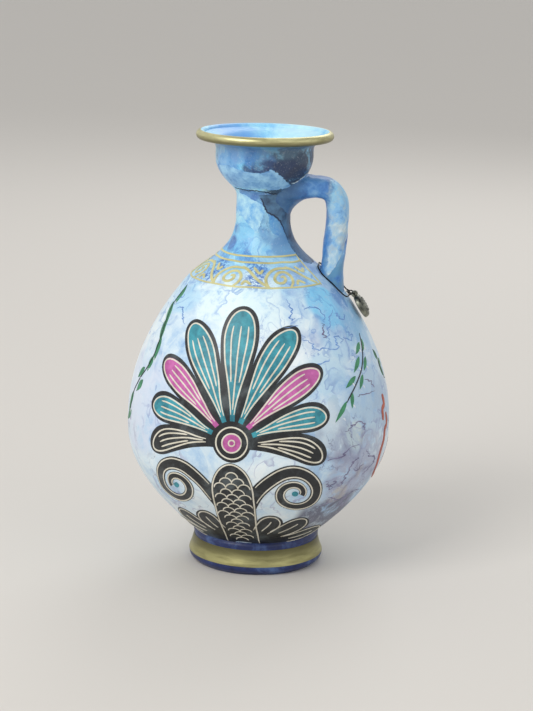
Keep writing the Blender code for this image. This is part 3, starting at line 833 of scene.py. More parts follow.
def handle_stations():
    """Return the strap's curve as Bezier stations of (handle before, place, handle after, spread)."""
    corner = Vector((HANDLE_REACH, 0.0, HANDLE_CREST.z))
    lead = (corner - HANDLE_CREST) * ELBOW_LEAD
    elbow = corner - Vector((0.0, 0.0, HANDLE_ELBOW_DROP))
    foot = Vector((HANDLE_LANDING_RADIUS, 0.0, height_for(HANDLE_LANDING_RADIUS)))
    tail = foot - Vector((0.0, 0.0, HANDLE_BURIED_LENGTH))
    straight = Vector((0.0, 0.0, (elbow.z - foot.z) / 3))
    return [
        (HANDLE_ROOT, HANDLE_ROOT, HANDLE_ROOT.lerp(HANDLE_CREST, ROOT_LEAD), HANDLE_UPPER_SPREAD),
        (HANDLE_CREST - lead, HANDLE_CREST, HANDLE_CREST + lead, HANDLE_CREST_SPREAD),
        (elbow.lerp(corner, ELBOW_LEAD), elbow, elbow - straight, 1.0),
        (foot + straight, foot, foot.lerp(tail, ROOT_LEAD), LANDING_SPREAD),
        (tail.lerp(foot, ROOT_LEAD), tail, tail, HANDLE_LOWER_SPREAD),
    ]


def height_for(radius):
    """Return the height at which the shoulder, above the belly, has a radius."""
    upper = [point for point, _ in WALL if BELLY[1] <= point.y <= NECK[1]]
    index, share = between([-point.x for point in upper], -radius)
    return upper[index].y + (upper[index + 1].y - upper[index].y) * share


def strap_rings():
    """Return the centre, direction and spread of each ring of the strap, closest together at the root."""
    rings = []
    stations = handle_stations()
    for order, (_, start, after, low_spread) in enumerate(stations[:-1]):
        before, end, _, high_spread = stations[order + 1]
        steps = STRAP_RINGS if order else STRAP_ROOT_RINGS
        for step in range(steps):
            share = step / steps
            spread = low_spread + (high_spread - low_spread) * share
            rings.append((*bezier(start, after, before, end, share), spread))
    return rings


def modelled(place, centre):
    """Return a place on the strap as a hand leaves it: lumpy, luted to the wall and sunk into it."""
    outward = (place - centre).normalized()
    place = place + outward * sum(depth * noise.noise(place * scale) for depth, scale in STRAP_LUMPS)
    swell = max(0.0, 1 - ((place.z - STRAP_SWELL_HEIGHT) / STRAP_SWELL_REACH) ** 2)
    place = place + Vector((STRAP_SWELL * swell * max(0.0, outward.x), 0.0, 0.0))
    stands, _ = height_over_wall(place)
    fillet = LOWER_LUTING_RADIUS
    if place.z > NECK[1]:
        fillet = UPPER_LUTING_RADIUS + UNDER_ROOT_RADIUS * max(0.0, -outward.z) ** 2
    inset = min(max(fillet - stands, 0.0), fillet)
    drop = fillet - math.sqrt(fillet ** 2 - inset ** 2)
    place = place + outward * drop
    height, normal = height_over_wall(place)
    flush = min(stands, 0.0) - LUTING_EDGE_DEPTH
    place = place + normal * (flush - height) * (inset / fillet) ** LUTING_POWER
    return sunk(place)


def sunk(place):
    """Return a place moved out to where it is no deeper in the wall than the strap is sunk."""
    height, normal = height_over_wall(place)
    return place + normal * max(0.0, -HANDLE_SUNK_DEPTH - height)


def rounded(wave):
    """Return a sine or cosine, pushed out towards the corners of the strap's section."""
    return math.copysign(abs(wave) ** STRAP_CORNER_POWER, wave)


def strap_handle(glaze):
    """Add the pulled strap handle, luted under the cup and on the shoulder."""
    bm = bmesh.new()
    rows = []
    for centre, along, spread in strap_rings():
        if centre.x < HANDLE_START:
            continue
        outward = Vector((-along.z, 0.0, along.x))
        row = []
        for angle in round_angles(STRAP_SIDES):
            across = rounded(math.cos(angle)) * HANDLE_WIDTH / 2 * spread
            across = max(-ROOT_HALF_WIDTH_LIMIT, min(ROOT_HALF_WIDTH_LIMIT, across))
            through = rounded(math.sin(angle)) * HANDLE_THICKNESS / 2 * spread
            place = centre + Vector((0.0, across, 0.0)) + outward * through
            row.append(bm.verts.new(modelled(place, centre)))
        rows.append(row)
    join_rows(bm, rows)
    for end in (rows[0], rows[-1]):
        buried_cap(bm, end)
    bmesh.ops.recalc_face_normals(bm, faces=bm.faces)
    dress(add_object("glazed_handle", bm, glaze, TUBE_ANGLE), "jug", "neck_glaze", "strap_handle")


def buried_cap(bm, row):
    """Close an end of the strap inside the wall, with rows that shrink along it to one point."""
    middle = sum((vert.co for vert in row), Vector()) / len(row)
    rows = [row]
    for share in CAP_SHARES:
        rows.append([bm.verts.new(sunk(middle.lerp(vert.co, share))) for vert in row])
    join_rows(bm, rows)
    centre = bm.verts.new(sunk(middle))
    last = rows[-1]
    for here, there in zip(last, last[1:] + last[:1]):
        bm.faces.new((here, there, centre))


def join_rows(bm, rows):
    """Join rows of points into an open tube."""
    for here, there in zip(rows, rows[1:]):
        for index in range(len(here)):
            following = (index + 1) % len(here)
            bm.faces.new((here[index], here[following], there[following], there[index]))


def close_tube(bm, rows):
    """Join rows of points into a closed tube."""
    join_rows(bm, rows)
    bm.faces.new(rows[0])
    bm.faces.new(rows[-1])
    bmesh.ops.recalc_face_normals(bm, faces=bm.faces)


# Wire loop and medal

def on_shoulder(x, y, lift):
    """Return the place that stands off the shoulder by lift, seen from above at (x, y)."""
    radius = math.hypot(x, y)
    height = height_for(radius)
    _, slope = wall_at(height)
    out = Vector((x / radius, y / radius, 0.0))
    return out * (radius + slope.x * lift) + Vector((0.0, 0.0, height + slope.y * lift))


def eye_place():
    """Return the middle of the medal's eye."""
    return on_shoulder(HANDLE_LANDING_RADIUS + EYE_REACH, 0.0, EYE_LIFT)


def wire_leg(hand):
    """Return one leg of the wire, from behind the handle out to the eye, on the side that hand gives."""
    lift = WIRE_RADIUS + WIRE_CLEARANCE
    inner = HANDLE_LANDING_RADIUS - ROOT_HALF_THICKNESS - WIRE_SIDE_PLAY - WIRE_RADIUS
    outer = HANDLE_LANDING_RADIUS + ROOT_HALF_THICKNESS + WIRE_SIDE_PLAY
    side = ROOT_HALF_WIDTH + WIRE_SIDE_PLAY + WIRE_RADIUS
    tip = EYE_LENGTH / 2 + WIRE_RADIUS * 2
    strand = WIRE_RADIUS + WIRE_STRAND_GAP / 2
    hinge = on_shoulder(inner, 0.0, lift)
    eye = eye_place()
    return [
        hinge,
        hinge + Vector((0.0, hand * ROOT_HALF_WIDTH * 0.65, 0.0)),
        on_shoulder(hinge.x * 0.7 + HANDLE_LANDING_RADIUS * 0.3, hand * side * 0.92, lift),
        on_shoulder(HANDLE_LANDING_RADIUS, hand * side, lift),
        on_shoulder(outer, hand * side * 0.75, lift + strand),
        on_shoulder(outer + EYE_REACH * 0.1, hand * (tip + WIRE_RADIUS * 4), EYE_LIFT * 0.8),
        eye + Vector((0.0, hand * tip, 0.0)),
        eye + Vector((0.0, hand * EYE_LENGTH / 4, 0.0)),
    ]


def wire_route():
    """Return the wire's route: a twisted end, round the handle's root, through the eye, the other end."""
    front = wire_leg(-1)
    back = wire_leg(1)
    join = back.pop(4)
    _, normal = height_over_wall(join)
    along = back[3] - back[4]
    along = (along - normal * along.dot(normal)).normalized()
    axis = along.cross(normal)
    if axis.z > 0:
        axis.negate()
    strand = WIRE_RADIUS + WIRE_STRAND_GAP / 2
    steps = round(WIRE_TWIST_TURNS * STEPS_PER_TWIST)
    twists = []
    for hand in (1, -1):
        twist = []
        for step in range(steps + 1):
            angle = 2 * math.pi * WIRE_TWIST_TURNS * step / steps
            turned_out = (along * math.cos(angle) + normal * math.sin(angle)) * strand * hand
            twist.append(join + turned_out + axis * WIRE_TWIST_LENGTH * step / steps)
        twists.append(twist)
    loop = [twists[0][0], *back[3:0:-1], *front, *back[:3:-1], twists[1][0]]
    resting = []
    for point in smooth_path(loop, 8):
        height, normal = height_over_wall(point)
        resting.append(point + normal * max(0.0, WIRE_RADIUS + WIRE_CLEARANCE - height))
    return twists[0][:0:-1] + resting + twists[1][1:]


def wire_loop(steel):
    """Add the dark wire round the handle's root."""
    route = wire_route()
    bm = bmesh.new()
    rows = []
    across = Vector((0.0, 0.0, 1.0))
    for place, along in zip(route, directions(route)):
        across = (across - along * across.dot(along)).normalized()
        other = along.cross(across)
        row = []
        for angle in round_angles(WIRE_SIDES):
            side = across * math.cos(angle) + other * math.sin(angle)
            row.append(bm.verts.new(place + side * WIRE_RADIUS))
        rows.append(row)
    close_tube(bm, rows)
    dress(add_object("steel_wire", bm, steel, TUBE_ANGLE), "wire", "wire", "wire_loop")


def medal_frame():
    """Return the medal's frame: X from the eye to its middle, Z out of its face, the origin at its middle."""
    down = Vector((math.sin(MEDAL_LEAN), 0.0, -math.cos(MEDAL_LEAN)))
    out = Vector((math.cos(MEDAL_LEAN), 0.0, math.sin(MEDAL_LEAN)))
    turn = Matrix((down, Vector((0.0, 1.0, 0.0)), out)).transposed().to_4x4()
    return Matrix.Translation(eye_place() + down * EYE_TO_CENTRE) @ turn


def medal_disc(pewter):
    """Return the domed disc of the medal, with its raised rim."""
    half = MEDAL_EDGE / 2
    relief = [(radius, half + rise) for radius, rise in MEDAL_RELIEF]
    face = [(0.0, half + MEDAL_DOME), *relief, (MEDAL_RADIUS, MEDAL_LAND)]
    back = [(MEDAL_RADIUS, -MEDAL_LAND), (MEDAL_BACK_RADIUS, -half), (0.0, -half - MEDAL_BACK_DOME)]
    outline = [tuple(point) for point in smooth_path(face, 3) + smooth_path(back, 3)]
    return ring_skin("pewter_medal", outline, pewter, 96, False)


def medal_eye(pewter):
    """Return the bored eye for the wire, about Z."""
    wall = EYE_BORE_RADIUS + EYE_WALL
    half = EYE_LENGTH / 2
    upper = [(wall, half - EYE_CHAMFER), (wall - EYE_CHAMFER, half), (EYE_BORE_RADIUS, half)]
    lower = [(radius, -height) for radius, height in reversed(upper)]
    return ring_skin("medal_eye", lower + upper, pewter, 32, False)


def seal_medal(pewter):
    """Add the domed medal: a raised rim, a ring of pearls round a boss, and an eye for the wire."""
    pieces = [(medal_disc(pewter), Matrix.Identity(4), "seal_medal")]
    for index, angle in enumerate(round_angles(PEARL_COUNT)):
        bm = bmesh.new()
        bmesh.ops.create_uvsphere(bm, u_segments=16, v_segments=10, radius=PEARL_RADIUS)
        pearl = add_object(f"medal_bead_{index + 1}", bm, pewter)
        place = Vector((*heading(angle) * PEARL_CIRCLE, MEDAL_EDGE / 2 + PEARL_RISE))
        pieces.append((pearl, Matrix.Translation(place), None))
    sideways = Matrix.Translation((-EYE_TO_CENTRE, 0.0, 0.0)) @ Matrix.Rotation(UPRIGHT, 4, "X")
    pieces.append((medal_eye(pewter), sideways, None))
    for piece, place, node in pieces:
        piece.data.transform(medal_frame() @ place)
        dress(piece, "medal", "medal", node)


# Painting on the wall

DRAWN_SWAY_MM = 0.5
DRAWN_SWAY_SCALE = 0.07
ACROSS_LAYER = 3.0
UP_LAYER = 9.0


def by_turn(point, lift):
    """Place a drawn point of (turn, height in millimetres) on the wall."""
    return on_wall(point[0], point[1] * MM, lift)


def by_sheet(centre_turn):
    """Return a function that wraps a drawing in millimetres, up from the wall's base, round a turn."""
    def sway(point, layer):
        return DRAWN_SWAY_MM * noise.noise(Vector((*point, layer)) * DRAWN_SWAY_SCALE)

    def place(point, lift):
        height = height_at((point[1] + sway(point, UP_LAYER)) * MM)
        radius, _ = wall_at(height)
        across = (point[0] + sway(point, ACROSS_LAYER)) * MM
        return on_wall(centre_turn + math.degrees(across / radius), height, lift)
    return place


def mirrored(points, beyond=0.0):
    """Return points on the other side of the handle, a number of degrees further round."""
    return [(2 * HANDLE_TURN - turn + beyond, height) for turn, height in points]


def stroke(bm, path, width, place, lift, tip=0.35, lead=0.12, waver=0.0):
    """Lay a crowned brush stroke along a path, narrower at its ends and wavering in width."""
    spots = [place(point, lift) for point in path]
    last = len(spots) - 1
    rows = []
    for index, along in enumerate(directions([spot for spot, _ in spots])):
        spot, normal = spots[index]
        nearness = min(index, last - index) / last
        half = width / 2 * (tip + (1 - tip) * min(1.0, nearness / lead) ** TAPER_POWER)
        half *= 1 + waver * noise.noise(spot * WAVER_SCALE)
        side = along.cross(normal) * half
        low = spot - normal * PAINT_DEPTH
        corners = (low - side, spot - side, spot + normal * CROWN, spot + side, low + side)
        rows.append([bm.verts.new(corner) for corner in corners])
    close_tube(bm, rows)


def fill(bm, outline, place, lift, grid=4.0):
    """Lay a flat coat of paint inside a closed outline, in the drawing's millimetres."""
    points = [Vector(point) for point in outline]
    area = sum(a.x * b.y - b.x * a.y for a, b in zip(points, points[1:] + points[:1]))
    if area < 0:
        points.reverse()
    count = len(points)
    low = Vector((min(point.x for point in points), min(point.y for point in points)))
    high = Vector((max(point.x for point in points), max(point.y for point in points)))
    inner = []
    for column in range(1, math.ceil((high.x - low.x) / grid)):
        for row in range(1, math.ceil((high.y - low.y) / grid)):
            spot = low + Vector((column, row)) * grid
            if min((spot - point).length for point in points) > grid / 3:
                inner.append(spot)
    edges = [(index, (index + 1) % count) for index in range(count)]
    verts, _, faces, *_ = geometry.delaunay_2d_cdt(points + inner, edges, [], 1, 0.0001)
    used = sorted({index for face in faces for index in face})
    tops = {}
    bottoms = {}
    for index in used:
        spot, normal = place(verts[index], lift)
        tops[index] = bm.verts.new(spot)
        bottoms[index] = bm.verts.new(spot - normal * PAINT_DEPTH)
    sides = set()
    for face in faces:
        bm.faces.new([tops[index] for index in face])
        bm.faces.new([bottoms[index] for index in reversed(face)])
        sides |= {(a, b) for a, b in zip(face, face[1:] + face[:1])}
    for a, b in sides:
        if (b, a) not in sides:
            bm.faces.new((tops[b], tops[a], bottoms[a], bottoms[b]))


def painted(name, bm, material, slot="body_glaze"):
    """Add painted strokes to the jug."""
    dress(add_object(name, bm, material, PAINT_ANGLE), "jug", slot)


# Gold band on the shoulder: turns in degrees, heights in millimetres, widths in metres

BAND_START = HANDLE_TURN + 30.0 - 360.0
BAND_END = HANDLE_TURN - 30.0
BAND_PITCH = 47.5
BAND_UNITS = 6
BAND_LAST_SPIRAL = 18.5
BAND_LINES = [(218.4, 0.0013), (214.8, 0.0014), (201.2, 0.0012)]
BAND_EDGE = [218.9, 209.0, 200.6]
BAND_EDGE_WIDTH = 0.0012
BAND_GROUND = [205.0, 211.0]
SPIRAL_WIDTH = 0.0020
CHECK_WIDTH = 0.0019
LINE_STEPS = 180
LINE_SWAY_MM = 0.35
LINE_SWAY_SCALE = 0.06
SPIRAL_STROKES = [
    [(13.9, 211.4), (-1.7, 211.6), (-10.3, 209.7), (-14.6, 206.5), (-14.2, 203.2), (-12.5, 201.4)],
    [(5.8, 201.5), (9.2, 204.1), (9.5, 207.2), (5.0, 209.5), (-2.0, 209.2), (-6.6, 206.6), (-5.3, 204.2),
     (-0.7, 203.7), (3.0, 205.3), (2.4, 207.2), (-0.9, 206.9)],
    [(7.4, 212.4), (16.4, 210.0), (24.6, 205.9), (33.2, 202.0)],
]
BAND_CHECKS = [
    [(20.4, 212.2), (26.8, 209.0), (30.1, 210.9)],
    [(12.2, 202.4), (15.0, 204.5), (20.4, 202.8)],
]


def gold_band(gold):
    """Paint the band of running spirals between gold lines. It stops on both sides of the handle."""
    bm = bmesh.new()
    for height, width in BAND_LINES:
        line = []
        for step in range(LINE_STEPS + 1):
            turn = BAND_START + (BAND_END - BAND_START) * step / LINE_STEPS
            sway = LINE_SWAY_MM * noise.noise(Vector((turn * LINE_SWAY_SCALE, height, 0.0)))
            line.append((turn, height + sway))
        stroke(bm, line, width, by_turn, OVER_COAT, lead=0.005)
    for end in (BAND_START, BAND_END):
        edge = smooth_path([(end, height) for height in BAND_EDGE], 6)
        stroke(bm, edge, BAND_EDGE_WIDTH, by_turn, OVER_COAT)
    drawn = [(points, SPIRAL_WIDTH, 7) for points in SPIRAL_STROKES]
    drawn += [(points, CHECK_WIDTH, 5) for points in BAND_CHECKS]
    for unit in range(BAND_UNITS):
        centre = BAND_LAST_SPIRAL - BAND_PITCH * unit
        for points, width, steps in drawn:
            path = smooth_path([(centre + turn, height) for turn, height in points], steps)
            stroke(bm, path, width, by_turn, OVER_COAT + COAT_STEP, tip=0.6)
    painted("gold_scroll_band", bm, gold, "neck_glaze")


# Torn films of glaze on the neck and cup, as outlines of (turn, height in millimetres)

CUP_FILM = [
    (46.6, 265.0), (32.0, 269.0), (19.2, 273.9), (10.4, 277.5), (-3.2, 275.0), (-18.9, 275.4), (-35.7, 277.1),
    (-49.7, 278.8), (-75.0, 277.6), (-104.0, 279.2), (-134.0, 273.0), (-120.0, 266.5), (-90.0, 264.6),
    (-56.3, 263.4), (-21.6, 263.6), (-3.7, 264.1), (12.0, 262.6), (30.0, 263.4),
]
NECK_FILM = [
    (-58.0, 258.8), (-42.5, 257.9), (-26.8, 255.4), (-4.0, 252.4), (2.2, 248.1), (-3.1, 241.2),
    (-11.7, 234.3), (-30.9, 238.0), (-49.4, 242.5), (-72.0, 244.0), (-84.0, 252.0), (-72.0, 258.6),
]
# Slate film by the handle, mirrored past it: partly painted shade in the handle's lee, partly darker glaze
NECK_SHADE_EDGE = [
    (6.0, 259.0), (-3.0, 256.2), (7.1, 248.6), (21.1, 245.6), (31.7, 243.2), (43.7, 238.6), (50.5, 231.0),
    (54.0, 224.6), (57.0, 218.4), (62.0, 213.6), (72.0, 211.8),
]
NECK_SHADE = NECK_SHADE_EDGE + mirrored(NECK_SHADE_EDGE)[::-1]
NECK_CRACK = [(-8.0, 256.8), (-3.0, 255.4), (7.1, 248.1), (21.1, 245.1), (31.7, 242.7), (43.7, 238.1),
              (53.5, 229.3)]
CREASE = [(-64.0, 262.2), (-40.0, 261.6), (-20.0, 261.9), (0.0, 261.2), (14.0, 260.0), (28.0, 259.6)]
JOINT_CHIP = [(75.0, 273.2), (68.0, 270.9), (62.0, 269.3), (56.0, 267.8), (50.0, 267.0), (45.0, 266.9)]
FILM_GRID = 1.8
CRACK_WIDTH = 0.0010
CREASE_WIDTH = 0.0006
CHIP_WIDTH = 0.0009

# Raggedness of a torn line: how far it strays in degrees and millimetres, and how fast
TEAR_STRAY = (2.6, 0.7)
TEAR_SCALE = (0.32, 0.9)
OTHER_TEAR = Vector((7.0, 3.0, 5.0))


def torn(points, closed=True):
    """Return a ragged line through points of (turn, height)."""
    ragged = []
    for point in smooth_path(points, 12, closed):
        key = Vector((point.x * TEAR_SCALE[0], point.y * TEAR_SCALE[1], 0.0))
        stray = (noise.noise(key) * TEAR_STRAY[0], noise.noise(key + OTHER_TEAR) * TEAR_STRAY[1])
        ragged.append(point + Vector(stray))
    return ragged


def ragged_lines(name, lines, material, lift, slot="body_glaze", waver=0.0):
    """Paint ragged lines of (points, width) that thin out towards their ends."""
    bm = bmesh.new()
    for points, width in lines:
        stroke(bm, torn(points, False), width, by_turn, lift, tip=0.2, lead=0.3, waver=waver)
    painted(name, bm, material, slot)


def torn_films(pale, cyan, slate, ink, chalk):
    """Lay the torn films, the slate film beside them, which is partly painted shade in the handle's lee, and
    the dark cracks between them.
    """
    films = [("cup_film", CUP_FILM, pale, 3), ("neck_film", NECK_FILM, cyan, 3),
             ("neck_shade", NECK_SHADE, slate, 1)]
    for name, points, material, coat in films:
        bm = bmesh.new()
        fill(bm, torn(points), by_turn, UNDER_COAT + COAT_STEP * coat, FILM_GRID)
        painted(name, bm, material, "neck_glaze")
    cracks = [(NECK_CRACK, CRACK_WIDTH), (CREASE, CREASE_WIDTH)]
    ragged_lines("film_cracks", cracks, ink, OVER_COAT, "neck_glaze")
    ragged_lines("joint_chip", [(JOINT_CHIP, CHIP_WIDTH)], chalk, OVER_COAT, "neck_glaze")


# Veins that stand out in the glaze, as places of (turn, height in millimetres)

BLUE_VEINS = [
    [(29, 188), (32, 189), (36, 189), (39, 188), (41, 185.5), (42, 183), (39.5, 179.5)],
    [(52, 185.5), (49, 183.5), (45, 181.5), (44, 178), (41, 176), (40.5, 173), (39.5, 170), (40, 167)],
    [(52, 183.5), (53.5, 181.5), (56, 179), (59, 179), (60, 181.5)],
    [(24, 173.5), (24.5, 170), (27.5, 168.5), (28, 166.5), (30, 163.5), (33.5, 164.5), (37, 163.5),
     (40, 162.5), (43.5, 163), (44.5, 164.5), (43, 167), (44.5, 169.5), (47, 170), (49, 168), (47, 165.5)],
    [(56.5, 174), (55, 172), (56, 170), (58, 168), (55.5, 165.5), (53, 167), (50, 169)],
    [(25, 155.5), (28, 155), (32, 155.5), (35.5, 156.5), (37.5, 157.5)],
    [(17.5, 194.5), (19, 192), (20, 188), (18.5, 184.5), (19, 182), (21, 183.5)],
    [(14, 178.5), (17, 178.5), (19.5, 178.5), (22, 179)],
    [(-71, 186.5), (-68.5, 188), (-65, 189.5), (-64.5, 191)],
    [(-63, 182.5), (-60.5, 183.5), (-56.5, 184), (-55, 182), (-52, 179.5), (-50.5, 177), (-47, 175)],
]
VIOLET_VEINS = [
    [(39.5, 110.5), (41.5, 110), (43, 113), (45.5, 113.5), (48.5, 115), (51, 112.5), (52, 108),
     (51.5, 102.5)],
    [(48, 99), (44.5, 98.5), (41.5, 97), (39.5, 95.5), (38.5, 93.5), (37, 92.5), (34, 92.5), (31, 92)],
    [(48, 90), (46.5, 88), (44.5, 86), (43.5, 82), (42.5, 77.5), (41.5, 73), (41, 70.5)],
    [(53.5, 93.5), (57, 88.5), (63, 85), (63.5, 81.5), (59.5, 78.5), (55.5, 75)],
    [(36.5, 63), (40.5, 62), (43.5, 58.5), (47.5, 59), (52.5, 60.5), (55, 62.5), (62, 61)],
    [(33, 77.5), (33.5, 73), (36, 69), (36, 72.5), (37, 74), (35.5, 76.5)],
    [(46, 83), (49.5, 80), (52, 82.5), (53.5, 83.5)],
    [(48, 131), (52, 131.5), (57, 131), (63, 130.5)],
    [(58, 140), (61.5, 138), (62.5, 134.5), (63.5, 133)],
    [(38.5, 179), (37.5, 175.5), (36.5, 171.5), (38, 170)],
]
VEIN_WIDTH = 0.0007
VEIN_WAVER = 0.9


def glaze_veins(blue, violet):
    """Draw the veins that stand out: blue on the shoulder, violet below."""
    for name, veins, material in (("blue_veins", BLUE_VEINS, blue), ("violet_veins", VIOLET_VEINS, violet)):
        lines = [(points, VEIN_WIDTH) for points in veins]
        ragged_lines(name, lines, material, VEIN_COAT, waver=VEIN_WAVER)


# Olive branches and the ornament below the handle, as places of (turn, height in millimetres)

RIGHT_STEM = [(67.1, 167.9), (63.2, 159.5), (60.8, 154.2), (55.5, 146.3), (49.0, 138.5), (44.3, 132.7),
              (41.6, 128.6)]
RIGHT_LEAVES = [
    ((66.7, 164.4), (63.8, 158.2)), ((62.7, 163.1), (56.4, 157.6)), ((63.5, 153.6), (58.6, 146.6)),
    ((57.6, 155.0), (50.7, 147.4)), ((56.1, 143.8), (51.8, 136.1)), ((50.4, 144.0), (43.3, 138.7)),
    ((45.8, 134.6), (44.6, 125.6)), ((41.7, 129.7), (35.4, 118.8)),
]
LEFT_STEM = [(-70.4, 196.4), (-71.5, 184.6), (-67.6, 175.4), (-63.4, 163.8), (-62.4, 151.6), (-65.0, 142.2),
             (-69.5, 133.2), (-73.6, 123.4), (-75.6, 110.2)]
LEFT_LEAVES = [
    ((-69.9, 195.7), (-69.2, 188.1)), ((-73.7, 184.8), (-67.5, 176.0)), ((-67.9, 175.3), (-64.1, 165.6)),
    ((-62.3, 163.7), (-61.1, 153.9)), ((-62.3, 151.2), (-63.2, 144.4)), ((-67.3, 141.9), (-70.4, 136.6)),
    ((-65.2, 134.1), (-68.3, 128.2)), ((-73.5, 123.8), (-76.7, 113.9)), ((-73.6, 110.1), (-79.2, 104.1)),
]
SIDE_STEM = [(76.4, 154.8), (78.7, 148.1), (78.2, 142.2), (82.6, 133.3)]
SIDE_LEAVES = [((76.6, 154.4), (78.8, 146.6)), ((78.3, 143.8), (82.2, 134.0)),
               ((79.6, 147.6), (83.0, 142.0))]
LYRE_ARMS = [
    [(70.8, 126.2), (71.5, 123.6), (72.2, 120.6), (71.8, 118.5), (69.4, 117.0), (68.9, 114.5), (69.1, 112.0),
     (69.6, 108.7)],
    [(73.6, 112.8), (74.6, 109.6), (75.2, 106.6), (74.6, 103.4), (72.2, 102.0), (71.6, 99.6),
     (71.5, 95.3), (70.4, 91.9), (69.0, 89.1), (68.4, 84.4), (69.3, 77.4), (71.4, 70.4), (78.0, 65.4),
     (HANDLE_TURN, 62.6)],
]
LYRE_ARM_WIDTH = 0.0036
SPRAY_ROOT = (HANDLE_TURN, 62.0)
SPRAY_LEAVES = [(0.0, 29.0), (4.0, 20.0)]
SPRAY_GAP = 0.15
LEAF_WIDTH_MM = 3.4
WIDE_LEAF_WIDTH_MM = 5.2
LEAF_BELLY = 0.42
STEM_WIDTH = 0.0009

# White dab beside each leaf: its path and width, and where it starts from the leaf's tip
DAB = [Vector((0.0, 0.0)), Vector((0.7, -0.9)), Vector((1.2, -2.2))]
DAB_WIDTH = 0.0011
DAB_BACK = 0.6
DAB_RISE = 2.2

# Branches: stem, leaves, their width, how much longer they are drawn, and how much further round behind
BRANCHES = [
    (RIGHT_STEM, RIGHT_LEAVES, LEAF_WIDTH_MM, 1.15, 0.0),
    (LEFT_STEM, LEFT_LEAVES, WIDE_LEAF_WIDTH_MM, 1.6, 0.0),
    (SIDE_STEM, SIDE_LEAVES, WIDE_LEAF_WIDTH_MM, 1.0, 8.0),
]


def leaf_outline(base, tip, width):
    """Return a pointed leaf between two places, in degrees of turn and millimetres of height."""
    radius, _ = wall_at((base.y + tip.y) / 2 * MM)
    degree_mm = math.radians(1) * radius / MM
    along = Vector(((tip.x - base.x) * degree_mm, tip.y - base.y))
    across = Vector((-along.y / degree_mm, along.x)) / along.length
    steps = 8
    outline = []
    for hand, order in ((1, range(steps)), (-1, range(steps, 0, -1))):
        for step in order:
            share = step / steps
            bulge = math.sin(math.pi * share ** (math.log(0.5) / math.log(LEAF_BELLY)))
            outline.append(base.lerp(tip, share) + across * hand * bulge * width / 2)
    return outline


def olive_branches(leaf_green, stem_black, dab_white):
    """Paint the hanging olive branches, in front and, mirrored past the handle, behind."""
    leaves = bmesh.new()
    stems = bmesh.new()
    dabs = bmesh.new()
    for stem, pairs, width, longer, beyond in BRANCHES:
        behind = (mirrored(stem, beyond), [mirrored(pair, beyond) for pair in pairs])
        for path, ends in ((stem, pairs), behind):
            stroke(stems, smooth_path(path, 6), STEM_WIDTH, by_turn, OVER_COAT, tip=0.2)
            for base, tip in ends:
                base = Vector(base)
                tip = base + (Vector(tip) - base) * longer
                fill(leaves, leaf_outline(base, tip, width), by_turn, UNDER_COAT)
                beside = tip - Vector(((tip - base).x * DAB_BACK, -DAB_RISE))
                stroke(dabs, [beside + step for step in DAB], DAB_WIDTH, by_turn, UNDER_COAT)
    painted("olive_leaves", leaves, leaf_green)
    painted("olive_stems", stems, stem_black)
    painted("olive_dabs", dabs, dab_white)


def handle_scrolls(terracotta):
    """Paint the terracotta ornament below the handle: a lyre of wavy arms round a short spray of leaves."""
    bm = bmesh.new()
    for points in LYRE_ARMS:
        for turned in (list, mirrored):
            stroke(bm, smooth_path(turned(points), 8), LYRE_ARM_WIDTH, by_turn, OVER_COAT, tip=0.3, lead=0.1)
    root = Vector(SPRAY_ROOT)
    for aside, rise in SPRAY_LEAVES:
        for hand in ((1, -1) if aside else (1,)):
            tip = root + Vector((hand * aside, rise))
            fill(bm, leaf_outline(root.lerp(tip, SPRAY_GAP), tip, WIDE_LEAF_WIDTH_MM), by_turn, UNDER_COAT)
    painted("terracotta_scrolls", bm, terracotta)


# Palmette on the front, in millimetres across from its axis and up the wall. Line widths are in metres

PALMETTE_TURN = -11.0
HEART = Vector((0.0, 100.0))
HEART_RADIUS = 13.0
FAN_HEIGHT = 90.0
FAN_HALF_WIDTH = 63.0
PETAL_STEP = math.radians(22)
PETAL_DROOP = math.radians(3.2)
PETAL_COLOURS = ["turquoise", "turquoise", "pink", "turquoise", "black"]
BACKING_MM = 2.4
BUD_COAT = UNDER_COAT + COAT_STEP * 4
LINE_WIDTH = 0.0010
SCROLL_EYE = Vector((42.0, 63.0))
SCROLL_RADII = (18.5, 5.0)
SCROLL_START = math.radians(122)
SCROLL_TURNS = 1.4
SCROLL_WIDTHS = (11.5, 5.0)
SCALE_RADIUS = 4.0
BUD_HALF_WIDTH = 14.5
PETAL_ROOT = HEART_RADIUS + 1.5
PETAL_HALF_ROOT = 1.6
PETAL_FULLNESS = 0.30
PETAL_SHOULDER = 0.74
PETAL_TWIST = 2.5
THIN_LINE_WIDTH = 0.0008
SCROLL_LINE_WIDTH = 0.0009
SCROLL_LINE_SHARE = 0.72
SCROLL_LINE_GAP = 0.8
SCROLL_EYE_RADIUS = 2.2
HEART_PINK_RADIUS = 6.0
HEART_LINE_RADII = [10.6, 6.4, 2.0]

# Leaves along the palmette's foot, each of (angle in degrees, length), and what they share
BASE_LEAVES = [(84, 56.0), (62, 50.0), (40, 38.0)]
BASE_LEAF_CENTRE = Vector((0.0, 2.0))
BASE_LEAF_ROOT = 7.0
BASE_LEAF_HALF_WIDTHS = (3.0, 7.4)
BASE_LEAF_DROOP = math.radians(6)
BASE_LEAF_BACKING_MM = 1.6

# Ivory outlines, as growth and starting share, and ribs, as side and shares of the length
PETAL_EDGE = (-0.6, 0.05)
PETAL_RIBS = [(0, 0.10, 0.84), (-0.5, 0.34, 0.84), (0.5, 0.34, 0.84)]
BASE_LEAF_EDGE = (-0.2, 0.40)
BASE_LEAF_RIB = (0, 0.45, 0.84)
BUD_EDGE = (-0.9, 0.02)

